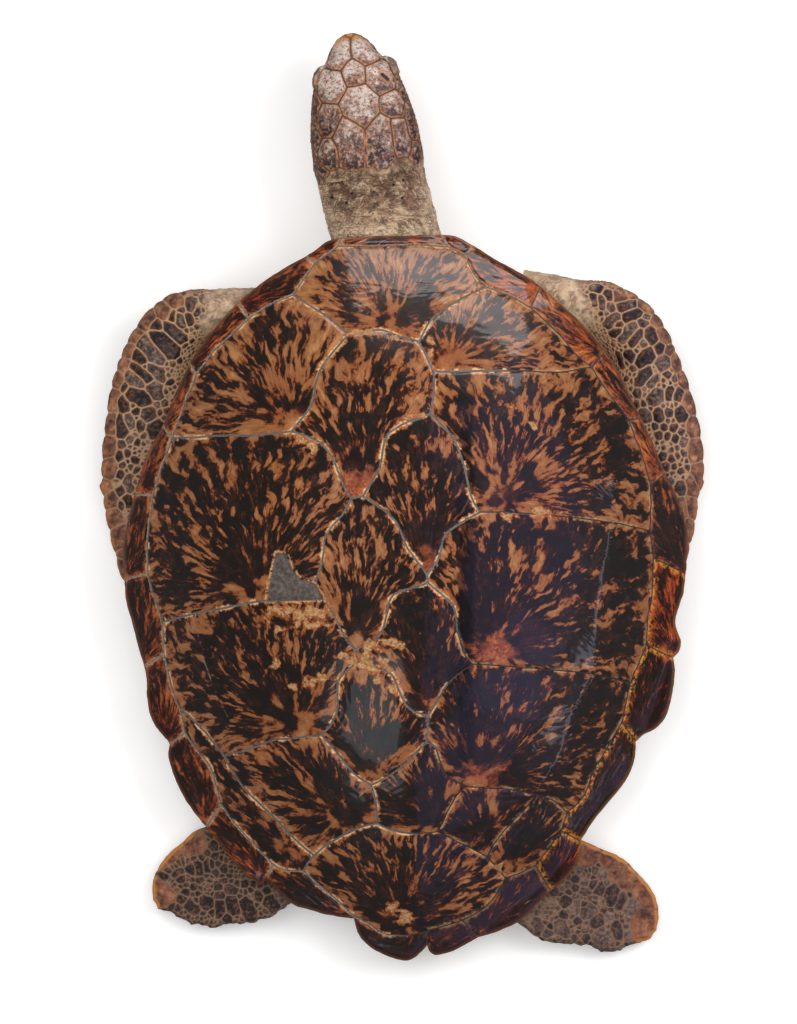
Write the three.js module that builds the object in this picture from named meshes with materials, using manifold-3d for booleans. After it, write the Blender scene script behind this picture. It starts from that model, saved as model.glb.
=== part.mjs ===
// A mounted sea turtle resting on its belly shell: carapace, plastron, skin, head, jaw, eyes,
// four flippers and tail. Millimetres, +Z up. The head points along -Y and the animal's left is +X.
//
// Plan points are read on a drawing sheet seen from above with the head at the top: x runs to the
// right, y runs down towards the tail, and one sheet unit is one millimetre.
import * as THREE from 'three';
import { mergeVertices } from 'three/addons/utils/BufferGeometryUtils.js';
import Module from 'manifold-3d';

const wasm = await Module();
wasm.setup();

// ---------------------------------------------------------------- driving dimensions

const SHEET = { x: 405, y: 560 }; // the sheet point that lies over the origin
const GAP = 0.5; // clearance left between neighbouring pieces

const DOME = {
  x: 405, y: 540, // sheet point under the highest part
  top: 250, // height of the dome above the table
  halfWidth: 284,
  front: { length: 304, round: 1.85, fullness: 2.7, flare: 1.02 },
  rear: { length: 420, round: 1.74, fullness: 2.05, flare: 1.3 },
  side: { fullness: 2.6, flare: 1.22 },
};
// Height of the rim's edge above the table, by sheet y.
const RIM_HEIGHT = [[230, 134], [300, 116], [400, 91], [500, 78], [620, 70], [760, 66], [880, 62], [965, 58]];
const RIM = { half: 4, under: 8 }; // half thickness at the edge, and the drop to the flat underside
const CEILING = 97; // flat underside of the carapace, where the body meets it
const SEAM = { depth: 2.4, bevel: 6, crown: 2 }; // groove between scutes and how far a scute bulges
const SEAM_STEP = 22; // spacing of the points along a seam

const BELLY = {
  y: [292, 838], // sheet y of the plastron's front and rear ends
  halfWidth: 168, thickness: 26, edge: 15, bridgeHalfWidth: 216, bridgeHeight: 62,
};
const BODY = { y: [272, 864], halfWidth: 206, wallTop: 128 }; // the carapace trims the wall's top

// ---------------------------------------------------------------- scute map

// Junctions of the seams between scutes. L and R number the ring inside the marginal scutes from
// front to rear on each side, OL and OR the ends of the marginal seams on the outer edge.
const JUNCTIONS = {
  L0: [338, 247], L1: [314, 265], L2: [293, 296], L3: [249, 319], L4: [197, 375], L5: [173, 438],
  L6: [153, 496], L7: [148, 574], L8: [163, 622], L9: [164, 654], L10: [180, 708], L11: [185, 733],
  L12: [221, 805], L13: [273, 865], L14: [304, 871], L15: [353, 915], TAIL: [427, 931],
  R0: [449, 248], R1: [464, 256], R2: [486, 288], R3: [530, 309], R4: [591, 368], R5: [628, 420],
  R6: [650, 486], R7: [649, 531], R8: [653, 558], R9: [646, 645], R10: [630, 683], R11: [622, 722],
  R12: [567, 812], R13: [561, 831], R14: [536, 866], R15: [505, 878], R16: [463, 921],
  A: [349, 336], B: [419, 343], C: [293, 432], D: [433, 373], E: [430, 415], F: [363, 497],
  G: [352, 498], H: [479, 512], I: [427, 574], J: [427, 582], M: [355, 648], P: [268, 600],
  Q: [324, 598], S: [471, 662], U: [428, 714], W: [359, 661], X: [322, 733], Z: [224, 755],
  V: [426, 740], K: [371, 783], N: [464, 785], O: [438, 830], T: [377, 822], Y: [314, 855],
  DD: [535, 793], II: [487, 856],
  OL0: [342, 239], OL1: [307, 257], OL3: [238, 303], OL4: [190, 364], OL5: [163, 426],
  OL6: [135, 494], OL7: [124, 580], OL9: [144, 666], OL11: [169, 745], OL12: [206, 828],
  OL13: [266, 878], OL15: [354, 919], OTAIL: [427, 946], OR0: [441, 236], OR1: [474, 247],
  OR3: [540, 287], OR4: [604, 352], OR5: [641, 419], OR6: [665, 473], OR8: [686, 574],
  OR9: [674, 658], OR11: [636, 742], OR13: [581, 841], OR14: [551, 892], OR16: [478, 938],
};

// Points that each seam passes between its two junctions. A seam that isn't listed is straight.
const SEAMS = {
  'L0-R0': [[374, 247], [417, 246]],
  'A-B': [[367, 333], [383, 332], [396, 337]],
  'L2-A': [[314, 309], [331, 321]],
  'B-R2': [[430, 323], [447, 309], [467, 297]],
  'A-C': [[337, 350], [326, 363], [318, 379], [315, 392], [311, 408]],
  'B-D': [[426, 358]],
  'D-E': [[434, 390]],
  'L5-C': [[196, 438], [228, 436], [260, 436]],
  'D-R4': [[458, 373], [510, 372], [557, 373]],
  'C-G': [[314, 440], [326, 448], [334, 461], [340, 475], [346, 489]],
  'E-F': [[404, 425], [393, 431], [386, 438], [382, 458], [379, 470]],
  'E-H': [[444, 429], [453, 440], [459, 454], [464, 469], [471, 499]],
  'H-R7': [[504, 512], [557, 516], [614, 523]],
  'H-I': [[468, 518], [453, 527], [444, 535], [438, 558]],
  'F-I': [[380, 507], [390, 515], [398, 525], [407, 547], [415, 558]],
  'G-Q': [[343, 515], [332, 527], [326, 538], [323, 562], [317, 583]],
  'L8-P': [[196, 613], [222, 608], [252, 602]],
  'J-M': [[413, 587], [401, 590], [391, 597], [386, 616], [382, 629], [375, 639]],
  'Q-M': [[334, 613], [341, 627], [347, 638]],
  'J-S': [[438, 591], [447, 599], [453, 606], [457, 630], [463, 651]],
  'S-R10': [[499, 664], [543, 668], [596, 674]],
  'S-U': [[456, 673], [446, 683], [439, 695]],
  'W-U': [[371, 665], [386, 669], [394, 676], [399, 689], [409, 706]],
  'W-X': [[350, 667], [340, 677], [338, 693], [338, 707], [331, 723]],
  'Z-X': [[256, 746], [274, 739], [299, 736]],
  'L10-Z': [[203, 729]],
  'U-V': [[427, 727]],
  'X-K': [[332, 744], [344, 759], [355, 772]],
  'V-K': [[414, 753], [393, 771], [380, 779]],
  'V-N': [[433, 743], [441, 762], [446, 772]],
  'N-DD': [[499, 787], [520, 790]],
  'DD-R12': [[553, 800]],
  'N-O': [[456, 794], [449, 806], [444, 817]],
  'K-T': [[375, 796], [377, 809]],
  'T-O': [[391, 828], [416, 832]],
  'O-II': [[457, 840], [474, 849]],
  'II-R15': [[497, 867]],
  'DD-II': [[528, 804], [511, 822], [496, 840]],
  'T-Y': [[363, 825], [345, 833], [329, 843]],
  'Y-L14': [[307, 864]],
  'Z-Y': [[233, 771], [246, 789], [259, 802], [279, 822], [293, 837]],
  // the ring inside the marginal scutes
  'L2-L3': [[270, 306]],
  'L3-L4': [[232, 335], [214, 352]],
  'L4-L5': [[186, 402]],
  'L5-L6': [[163, 465]],
  'L6-L7': [[148, 543]],
  'L7-L8': [[153, 593]],
  'L9-L10': [[168, 671], [173, 693]],
  'L11-L12': [[196, 749], [210, 766], [216, 786]],
  'L12-L13': [[238, 828], [261, 852]],
  'L13-L14': [[282, 870]],
  'L14-L15': [[317, 883], [335, 899]],
  'L15-TAIL': [[369, 925], [381, 933], [396, 936], [412, 935]],
  'TAIL-R16': [[448, 925]],
  'R15-R16': [[501, 887], [491, 901], [480, 911]],
  'R1-R2': [[474, 275]],
  'R2-R3': [[510, 297]],
  'R3-R4': [[559, 336], [574, 354]],
  'R4-R5': [[605, 390]],
  'R5-R6': [[634, 436], [641, 455], [647, 474]],
  'R6-R7': [[650, 509]],
  'R8-R9': [[651, 600], [647, 620]],
  'R11-R12': [[606, 749], [594, 769], [583, 797]],
  'R14-R15': [[520, 873]],
  // the outer edge
  'OL0-OR0': [[385, 237]],
  'OL1-OL0': [[331, 241]],
  'OL3-OL1': [[266, 281], [290, 266]],
  'OL4-OL3': [[216, 327]],
  'OL5-OL4': [[170, 407], [182, 380]],
  'OL6-OL5': [[140, 476], [149, 451]],
  'OL7-OL6': [[123, 547], [126, 526]],
  'OL9-OL7': [[140, 653], [131, 621], [126, 600]],
  'OL11-OL9': [[167, 741], [158, 731], [150, 717], [147, 700], [146, 680]],
  'OL12-OL11': [[196, 816], [180, 791], [172, 772], [168, 755]],
  'OL13-OL12': [[262, 885], [250, 879], [231, 860], [218, 843]],
  'OL15-OL13': [[336, 917], [315, 912], [291, 904], [275, 888]],
  'OTAIL-OL15': [[423, 951], [412, 960], [400, 961], [385, 956], [369, 947], [359, 935]],
  'OR0-OR1': [[455, 237]],
  'OR1-OR3': [[496, 261], [519, 273]],
  'OR3-OR4': [[569, 312], [584, 327]],
  'OR4-OR5': [[611, 361], [622, 380], [635, 407]],
  'OR5-OR6': [[650, 437]],
  'OR6-OR8': [[679, 501], [686, 521], [688, 545]],
  'OR8-OR9': [[684, 592], [677, 614], [676, 627], [681, 641], [680, 651]],
  'OR9-OR11': [[675, 673], [673, 693], [667, 715], [656, 729], [643, 736]],
  'OR11-OR13': [[635, 760], [626, 781], [612, 799], [595, 820]],
  'OR13-OR14': [[581, 853], [577, 866], [565, 880]],
  'OR14-OR16': [[536, 906], [523, 919], [510, 927], [494, 934]],
  'OR16-OTAIL': [[465, 946], [450, 953], [436, 956], [430, 953]],
};

// Each horny scute as the loop of junctions round it.
const SCUTES = {
  nuchal: 'L0 R0 OR0 OL0',
  vertebrals: [
    'L0 L1 L2 A B R2 R1 R0', 'A B D E F G C', 'E H I F', 'F I J M Q G', 'J S U W M', 'W U V K X',
    'V N O T K', 'T O II R15 R16 TAIL L15 L14 Y',
  ],
  leftCostals: ['L2 A C L5 L4 L3', 'C G Q P L8 L7 L6 L5', 'P Q M W X Z L10 L9 L8', 'X K T Y Z', 'L10 Z Y L14 L13 L12 L11'],
  rightCostals: ['B R2 R3 R4 D', 'D R4 R5 R6 R7 H E', 'H R7 R8 R9 R10 S J I', 'S R10 R11 R12 DD N V U', 'N DD II O', 'DD R12 R13 R14 R15 II'],
  leftMarginals: [
    'L0 L1 OL1 OL0', 'L1 L2 L3 OL3 OL1', 'L3 L4 OL4 OL3', 'L4 L5 OL5 OL4', 'L5 L6 OL6 OL5', 'L6 L7 OL7 OL6',
    'L7 L8 L9 OL9 OL7', 'L9 L10 L11 OL11 OL9', 'L11 L12 OL12 OL11', 'L12 L13 OL13 OL12',
    'L13 L14 L15 OL15 OL13', 'L15 TAIL OTAIL OL15',
  ],
  rightMarginals: [
    'R0 R1 OR1 OR0', 'R1 R2 R3 OR3 OR1', 'R3 R4 OR4 OR3', 'R4 R5 OR5 OR4', 'R5 R6 OR6 OR5', 'R6 R7 R8 OR8 OR6',
    'R8 R9 OR9 OR8', 'R9 R10 R11 OR11 OR9', 'R11 R12 R13 OR13 OR11', 'R13 R14 OR14 OR13',
    'R14 R15 R16 OR16 OR14', 'R16 TAIL OTAIL OR16',
  ],
};
const EDGE_LOOP = 'OL0 OR0 OR1 OR3 OR4 OR5 OR6 OR8 OR9 OR11 OR13 OR14 OR16 OTAIL OL15 OL13 OL12 OL11 OL9 OL7 OL6 OL5 OL4 OL3 OL1';

// ---------------------------------------------------------------- helpers

const mix = THREE.MathUtils.lerp;
const onFrame = (x, y) => [SHEET.x - x, y - SHEET.y];

// Smooth curve through [position, value] keys.
function through(keys, t) {
  const last = keys.length - 1;
  let i = 0;
  while (i < last - 1 && t > keys[i + 1][0]) i++;
  const slope = (j) => {
    const a = keys[Math.max(j - 1, 0)];
    const b = keys[Math.min(j + 1, last)];
    return (b[1] - a[1]) / (b[0] - a[0]);
  };
  const span = keys[i + 1][0] - keys[i][0];
  const u = THREE.MathUtils.clamp((t - keys[i][0]) / span, 0, 1);
  return (
    keys[i][1] * (1 + 2 * u) * (1 - u) ** 2 + keys[i + 1][1] * u * u * (3 - 2 * u) +
    slope(i) * span * u * (1 - u) ** 2 - slope(i + 1) * span * u * u * (1 - u)
  );
}

function material(color, roughness) {
  return new THREE.MeshStandardMaterial({ color, roughness, metalness: 0 });
}

function meshFrom(positions, triangles) {
  const geometry = new THREE.BufferGeometry();
  geometry.setAttribute('position', new THREE.Float32BufferAttribute(positions.flat(), 3));
  geometry.setIndex(triangles.flat());
  return geometry;
}

function solidOf(geometry) {
  const bare = geometry.index ? geometry.toNonIndexed() : geometry.clone();
  bare.deleteAttribute('normal');
  bare.deleteAttribute('uv');
  const merged = mergeVertices(bare, 1e-3);
  return new wasm.Manifold(new wasm.Mesh({
    numProp: 3,
    vertProperties: merged.attributes.position.array,
    triVerts: new Uint32Array(merged.index.array),
  }));
}

// The largest body of a solid as a geometry, so that no loose sliver of a cut is kept.
function geometryOf(solid) {
  const bodies = solid.decompose();
  const largest = bodies.reduce((a, b) => (a.volume() > b.volume() ? a : b));
  const mesh = largest.getMesh();
  const geometry = new THREE.BufferGeometry();
  geometry.setAttribute('position', new THREE.BufferAttribute(mesh.vertProperties, 3));
  geometry.setIndex(new THREE.BufferAttribute(mesh.triVerts, 1));
  return geometry;
}

// Skins a row of closed sections, each a list of [x, y, z], and closes both ends with a fan.
function loft(sections) {
  const n = sections[0].length;
  const positions = sections.flat();
  const triangles = [];
  for (let s = 0; s < sections.length - 1; s++) {
    for (let k = 0; k < n; k++) {
      const a = s * n + k;
      const b = s * n + ((k + 1) % n);
      triangles.push([a, b, b + n], [a, b + n, a + n]);
    }
  }
  for (const [s, forward] of [[0, false], [sections.length - 1, true]]) {
    const middle = positions.length;
    positions.push([0, 1, 2].map((i) => sections[s].reduce((sum, p) => sum + p[i], 0) / n));
    for (let k = 0; k < n; k++) {
      const a = s * n + k;
      const b = s * n + ((k + 1) % n);
      triangles.push(forward ? [a, b, middle] : [b, a, middle]);
    }
  }
  const geometry = meshFrom(positions, triangles);
  if (solidOf(geometry).volume() > 0) return geometry;
  return meshFrom(positions, triangles.map(([a, b, c]) => [a, c, b]));
}

// ---------------------------------------------------------------- carapace

// Height of the smooth dome over a sheet point. Round the egg-shaped plan, reach is 0 at the
// summit and 1 at the rim, and the profile is (1 - reach^fullness)^flare.
function domeHeight(x, y) {
  const end = y < DOME.y ? DOME.front : DOME.rear;
  const across = (Math.abs(x - DOME.x) / DOME.halfWidth) ** end.round;
  const along = (Math.abs(y - DOME.y) / end.length) ** end.round;
  const reach = Math.min((across + along) ** (1 / end.round), 1);
  const turn = along / (across + along + 1e-9);
  const fullness = mix(DOME.side.fullness, end.fullness, turn);
  const flare = mix(DOME.side.flare, end.flare, turn);
  const rim = through(RIM_HEIGHT, y);
  return rim + (DOME.top - rim) * (1 - reach ** fullness) ** flare;
}

const seamCache = new Map();

// The points of a seam from junction a up to, but without, junction b.
function seamPoints(a, b) {
  const key = [a, b].join('-');
  const back = [b, a].join('-');
  if (SEAMS[back]) return [JUNCTIONS[a], ...seamPoints(b, a).slice(1).reverse()];
  if (!seamCache.has(key)) {
    const listed = [JUNCTIONS[a], ...(SEAMS[key] ?? []), JUNCTIONS[b]];
    const curve = new THREE.CatmullRomCurve3(listed.map(([x, y]) => new THREE.Vector3(x, y, 0)), false, 'centripetal');
    const pieces = Math.max(1, Math.round(curve.getLength() / SEAM_STEP));
    seamCache.set(key, curve.getSpacedPoints(pieces).slice(0, -1).map((p) => [p.x, p.y]));
  }
  return seamCache.get(key);
}

function loopPoints(names) {
  const list = names.split(' ');
  return list.flatMap((name, i) => {
    const next = list[(i + 1) % list.length];
    const onEdge = name.startsWith('O') && name.length > 1 && next.startsWith('O') && next.length > 1;
    return seamPoints(name, next).map(([x, y], j) => ({ x, y, edge: onEdge || (j === 0 && name.startsWith('O') && name.length > 1) }));
  });
}

function centreOf(loop) {
  let area = 0;
  let cx = 0;
  let cy = 0;
  loop.forEach((p, i) => {
    const q = loop[(i + 1) % loop.length];
    const cross = p.x * q.y - q.x * p.y;
    area += cross;
    cx += (p.x + q.x) * cross;
    cy += (p.y + q.y) * cross;
  });
  return { x: cx / (3 * area), y: cy / (3 * area), turn: Math.sign(area) };
}

// One scute: its border lies in the groove, a bevel rises from it, and the middle bulges a little.
function addScute(positions, triangles, names) {
  const loop = loopPoints(names);
  const centre = centreOf(loop);
  const n = loop.length;
  const first = positions.length;
  const rings = [
    { share: () => 1, lift: (p) => (p.edge ? -RIM.half : -SEAM.depth) },
    { share: (reach) => 1 - SEAM.bevel / Math.max(reach, 2.5 * SEAM.bevel), lift: () => 0 },
    { share: () => 0.5, lift: () => SEAM.crown },
  ];
  for (const ring of rings) {
    for (const p of loop) {
      const share = ring.share(Math.hypot(p.x - centre.x, p.y - centre.y));
      const x = mix(centre.x, p.x, share);
      const y = mix(centre.y, p.y, share);
      positions.push([...onFrame(x, y), domeHeight(x, y) + ring.lift(p)]);
    }
  }
  positions.push([...onFrame(centre.x, centre.y), domeHeight(centre.x, centre.y) + SEAM.crown]);
  const middle = positions.length - 1;
  const face = (a, b, c) => triangles.push(centre.turn > 0 ? [a, c, b] : [a, b, c]);
  for (let r = 0; r < rings.length; r++) {
    for (let k = 0; k < n; k++) {
      const a = first + r * n + k;
      const b = first + r * n + ((k + 1) % n);
      if (r === rings.length - 1) face(a, b, middle);
      else {
        face(a, b, b + n);
        face(a, b + n, a + n);
      }
    }
  }
}

// The underside, from the edge inwards: the turn of the rim, the flat below it, and the ceiling.
function addUnderside(positions, triangles) {
  const loop = loopPoints(EDGE_LOOP);
  const n = loop.length;
  const first = positions.length;
  const rings = [
    { inset: 0, height: (rim) => rim - RIM.half },
    { inset: 5, height: (rim) => rim - RIM.under },
    { inset: 38, height: (rim) => rim - RIM.under + 5 },
    { inset: 62, height: () => CEILING },
  ];
  for (const ring of rings) {
    for (const p of loop) {
      const reach = Math.hypot(p.x - DOME.x, p.y - DOME.y);
      const share = 1 - ring.inset / reach;
      const x = mix(DOME.x, p.x, share);
      const y = mix(DOME.y, p.y, share);
      positions.push([...onFrame(x, y), ring.height(domeHeight(p.x, p.y))]);
    }
  }
  positions.push([...onFrame(DOME.x, DOME.y), CEILING]);
  const middle = positions.length - 1;
  for (let r = 0; r < rings.length; r++) {
    for (let k = 0; k < n; k++) {
      const a = first + r * n + k;
      const b = first + r * n + ((k + 1) % n);
      if (r === rings.length - 1) triangles.push([a, b, middle]);
      else triangles.push([a, b, b + n], [a, b + n, a + n]);
    }
  }
}

function makeCarapace() {
  const positions = [];
  const triangles = [];
  for (const names of Object.values(SCUTES).flat()) addScute(positions, triangles, names);
  addUnderside(positions, triangles);
  return meshFrom(positions, triangles);
}

// ---------------------------------------------------------------- plastron and body skin

// Half width of an oval that is blunt in front and tapers to the rear.
function ovalHalfWidth(share, halfWidth) {
  const t = 2 * share - 1;
  const power = t < 0 ? 2.6 : 2.2;
  return halfWidth * Math.max(1 - Math.abs(t) ** power, 0) ** (1 / 2.1);
}

// The belly shell, lofted from front to rear: flat where it rests, with bridges turning up at the sides.
function makePlastron() {
  const stations = 17;
  const sections = [];
  for (let i = 0; i <= stations; i++) {
    const share = 0.5 - 0.5 * Math.cos((Math.PI * (i + 0.35)) / (stations + 0.7));
    const y = mix(BELLY.y[0], BELLY.y[1], share);
    const half = ovalHalfWidth(share, BELLY.halfWidth);
    const bridge = Math.exp(-(((share - 0.42) / 0.2) ** 4));
    const wing = half + bridge * (BELLY.bridgeHalfWidth - half);
    const lift = bridge * BELLY.bridgeHeight;
    const flat = 0.72 * half;
    const outline = [
      [flat, 0], [0.93 * half, 3 + 0.08 * lift], [0.5 * (half + wing), 6 + 0.4 * lift], [wing, BELLY.edge - 5 + lift],
      [wing - 2, BELLY.edge + lift], [0.5 * (half + wing) - 6, BELLY.edge + 4 + 0.55 * lift],
      [0.8 * half, BELLY.thickness + 0.1 * lift], [0.3 * half, BELLY.thickness],
    ];
    const ring = [...outline, ...outline.toReversed().map(([x, z]) => [-x, z])];
    sections.push(ring.map(([x, z]) => [...onFrame(SHEET.x + x, y), z]));
  }
  return loft(sections);
}

// The skin that closes the body between the two shells, seen round the neck, limbs and tail.
function makeBodySkin(cutters) {
  const around = 36;
  const levels = [[9, 0.8], [22, 0.93], [48, 1], [78, 1], [BODY.wallTop, 0.98]];
  const middle = 0.5 * (BODY.y[0] + BODY.y[1]);
  const halfLength = 0.5 * (BODY.y[1] - BODY.y[0]);
  const sections = levels.map(([z, scale]) => {
    const ring = [];
    for (let k = 0; k < around; k++) {
      const angle = (2 * Math.PI * k) / around;
      const [c, s] = [Math.cos(angle), Math.sin(angle)];
      const power = s > 0 ? 0.86 : 0.72;
      const x = SHEET.x + BODY.halfWidth * scale * Math.sign(c) * Math.abs(c) ** 0.8;
      const y = middle + (halfLength - 30 * (1 - scale)) * Math.sign(s) * Math.abs(s) ** power;
      ring.push([...onFrame(x, y), z]);
    }
    return ring;
  });
  return geometryOf(cutters.reduce((body, cutter) => body.subtract(solidOf(cutter)), solidOf(loft(sections))));
}

// ---------------------------------------------------------------- head, jaw, eyes and neck

const NAPE = new THREE.Vector3(371, 178, 98); // back of the skull, on the sheet with its height
const SNOUT = new THREE.Vector3(349, 33, 84);
const HEAD_LENGTH = Math.hypot(SNOUT.x - NAPE.x, SNOUT.y - NAPE.y);
// Distance from the nape, half width, height above and depth below the axis.
const HEAD_STATIONS = [
  [0, 53, 38, 40], [14, 55.5, 43, 44], [30, 55, 45.5, 45], [48, 54, 46, 44], [66, 51, 45, 41], [82, 47.5, 42, 38],
  [97, 43, 37.5, 35], [110, 35, 32.5, 31], [121, 27, 27.5, 28.5], [131, 22, 22, 26], [138, 17, 16.5, 23.5],
  [143, 11, 11, 21.5], [146, 4.5, 6, 19.5],
];
const HEAD_SQUARENESS = 0.86;
const HEAD_SIDES = 22;
const MOUTH = { back: 58, front: 152, height: -15, drop: 4 };
const EYE = { radius: 12.5, along: 103, out: 31, up: 9 };
const NECK_STATIONS = [ // sheet x, sheet y, height, half width, half depth
  [396, 306, 64, 50, 27], [391, 276, 74, 54, 35], [388, 247, 82, 54.5, 39], [382, 222, 88, 54, 41],
  [376, 199, 92, 54, 41.5], [371.5, 180, 95, 53.5, 41], [370, 172, 96, 53, 41],
];

// A point given by distance along the head, offset to the sheet's right and height over its axis.
function onHead(along, right, up) {
  const t = along / HEAD_LENGTH;
  const dir = new THREE.Vector2(SNOUT.x - NAPE.x, SNOUT.y - NAPE.y).divideScalar(HEAD_LENGTH);
  const x = NAPE.x + dir.x * along - dir.y * right;
  const y = NAPE.y + dir.y * along + dir.x * right;
  return [...onFrame(x, y), mix(NAPE.z, SNOUT.z, t) + up];
}

function headForm() {
  return loft(HEAD_STATIONS.map(([along, half, above, below]) => {
    const ring = [];
    for (let k = 0; k < HEAD_SIDES; k++) {
      const angle = (2 * Math.PI * k) / HEAD_SIDES;
      const [c, s] = [Math.cos(angle), Math.sin(angle)];
      const right = half * Math.sign(c) * Math.abs(c) ** HEAD_SQUARENESS;
      const up = (s > 0 ? above : below) * Math.sign(s) * Math.abs(s) ** HEAD_SQUARENESS;
      ring.push(onHead(along, right, up));
    }
    return ring;
  }));
}

// The block below the mouth line, grown by a margin, which parts the jaw from the skull.
function jawBlock(margin) {
  const side = 80;
  const low = -60;
  const outline = [
    [MOUTH.back - margin, low], [MOUTH.front, low], [MOUTH.front, MOUTH.height - MOUTH.drop + margin],
    [MOUTH.back + 40, MOUTH.height + margin], [MOUTH.back - margin, MOUTH.height - 6 + margin],
  ];
  return loft([-side, side].map((right) => outline.map(([along, up]) => onHead(along, right, up))));
}

function eyeBall(side, margin) {
  const geometry = new THREE.SphereGeometry(EYE.radius + margin, 12, 8);
  geometry.translate(...onHead(EYE.along, side * EYE.out, EYE.up));
  return geometry;
}

function makeHead() {
  return geometryOf(
    solidOf(headForm()).subtract(solidOf(jawBlock(GAP)))
      .subtract(solidOf(eyeBall(1, GAP))).subtract(solidOf(eyeBall(-1, GAP))),
  );
}

const makeJaw = () => geometryOf(solidOf(headForm()).intersect(solidOf(jawBlock(0))));

function makeNeck(margin = 0) {
  const around = 20;
  return loft(NECK_STATIONS.map(([x, y, z, half, depth], i) => {
    const before = NECK_STATIONS[Math.max(i - 1, 0)];
    const after = NECK_STATIONS[Math.min(i + 1, NECK_STATIONS.length - 1)];
    const heading = new THREE.Vector2(after[0] - before[0], after[1] - before[1]).normalize();
    const end = i === 0 ? -margin : 0;
    const ring = [];
    for (let k = 0; k < around; k++) {
      const angle = (2 * Math.PI * k) / around;
      const right = (half + margin) * Math.cos(angle);
      const up = (depth + margin) * Math.sin(angle);
      const px = x - heading.y * right + heading.x * end;
      const py = y + heading.x * right + heading.y * end;
      ring.push([...onFrame(px, py), z + up]);
    }
    return ring;
  }));
}

// ---------------------------------------------------------------- flippers and tail

// Stations of a fore flipper from shoulder to tip: the leading edge and the trailing edge on the
// sheet with their heights, and the thickness.
const LEFT_FORE = [
  [[262, 288, 86], [292, 352, 70], 52], [[238, 288, 88], [262, 350, 68], 54], [[212, 289, 86], [232, 352, 62], 52],
  [[183, 291, 80], [212, 352, 56], 46], [[156, 304, 70], [200, 366, 53], 40], [[130, 336, 56], [196, 388, 50], 33],
  [[113, 378, 44], [197, 416, 50], 27], [[105, 424, 37], [194, 446, 50], 23], [[101, 468, 32], [188, 478, 48], 19],
  [[103, 503, 28], [178, 512, 44], 15], [[110, 538, 22], [168, 548, 36], 12], [[119, 572, 15], [155, 582, 25], 9],
  [[130, 600, 9], [143, 606, 14], 6],
];
const RIGHT_FORE = [
  [[524, 270, 88], [508, 340, 70], 52], [[550, 274, 90], [528, 344, 68], 54], [[580, 280, 88], [556, 346, 63], 52],
  [[609, 282, 82], [583, 344, 58], 47], [[640, 298, 72], [603, 356, 54], 41], [[664, 325, 60], [611, 376, 52], 34],
  [[683, 368, 48], [613, 404, 51], 28], [[697, 414, 40], [617, 434, 50], 24], [[704.5, 462, 34], [626, 470, 48], 20],
  [[699, 500, 28], [637, 506, 44], 15], [[694, 533, 22], [646, 540, 36], 12], [[685, 566, 15], [655, 574, 25], 9],
  [[673, 592, 9], [663, 598, 14], 6],
];
const CLAWS = { left: [99, 489, 29], right: [704.5, 485, 30] };
const CLAW = { length: 15, radius: 5.5 };

// A lens-shaped section between the two edges of a flipper.
function makeForeFlipper(stations, claw, claws, margin = 0) {
  const around = 14;
  const inward = Math.sign(stations[0][0][0] - stations[1][0][0]) * margin;
  const sections = stations.map(([lead, trail, thickness], i) => {
    const ring = [];
    for (let k = 0; k < around; k++) {
      const angle = (2 * Math.PI * k) / around;
      const c = Math.cos(angle);
      const share = 0.5 - 0.5 * Math.sign(c) * Math.abs(c) ** 0.9;
      const swell = (0.5 * thickness + margin) * Math.sin(angle) * (1 - 0.25 * share);
      const grow = -margin * c;
      const x = mix(lead[0], trail[0], share) + (i === 0 ? inward : grow * Math.sign(trail[0] - lead[0]));
      const y = mix(lead[1], trail[1], share) + grow * Math.sign(trail[1] - lead[1]);
      ring.push([...onFrame(x, y), mix(lead[2], trail[2], share) + swell]);
    }
    return ring;
  });
  const blade = loft(sections);
  if (!claw) return blade;
  const cone = new THREE.ConeGeometry(CLAW.radius, CLAW.length, 8);
  cone.rotateZ(claws === 'left' ? 0.12 : -0.12);
  cone.translate(...onFrame(claw[0] + (claws === 'left' ? 4 : -4), claw[1]), claw[2]);
  return geometryOf(solidOf(blade).add(solidOf(cone)));
}

// Plan outlines of the hind flippers, and the height of their middle plane at the root and the tip.
const LEFT_HIND = {
  outline: [
    [262, 828], [206, 828], [193, 833], [180, 845], [168, 855], [158, 868], [152, 882], [151, 896], [156, 910], [168, 914],
    [180, 921], [193, 926], [212, 929], [225, 926], [249, 925], [273, 917], [290, 905], [318, 884],
  ],
  root: [300, 856, 38], tip: [152, 892, 15],
};
const RIGHT_HIND = {
  outline: [
    [548, 826], [566, 834], [581, 841], [602, 850], [625, 861], [639, 875], [649, 886], [657, 900], [660, 916],
    [656, 934], [642, 945], [626, 950], [611, 955], [588, 947], [566, 946], [546, 943], [530, 934], [505, 905],
  ],
  root: [520, 866, 38], tip: [659, 922, 15],
};
const PADDLE = { thickness: 13, bevel: 5 };

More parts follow.
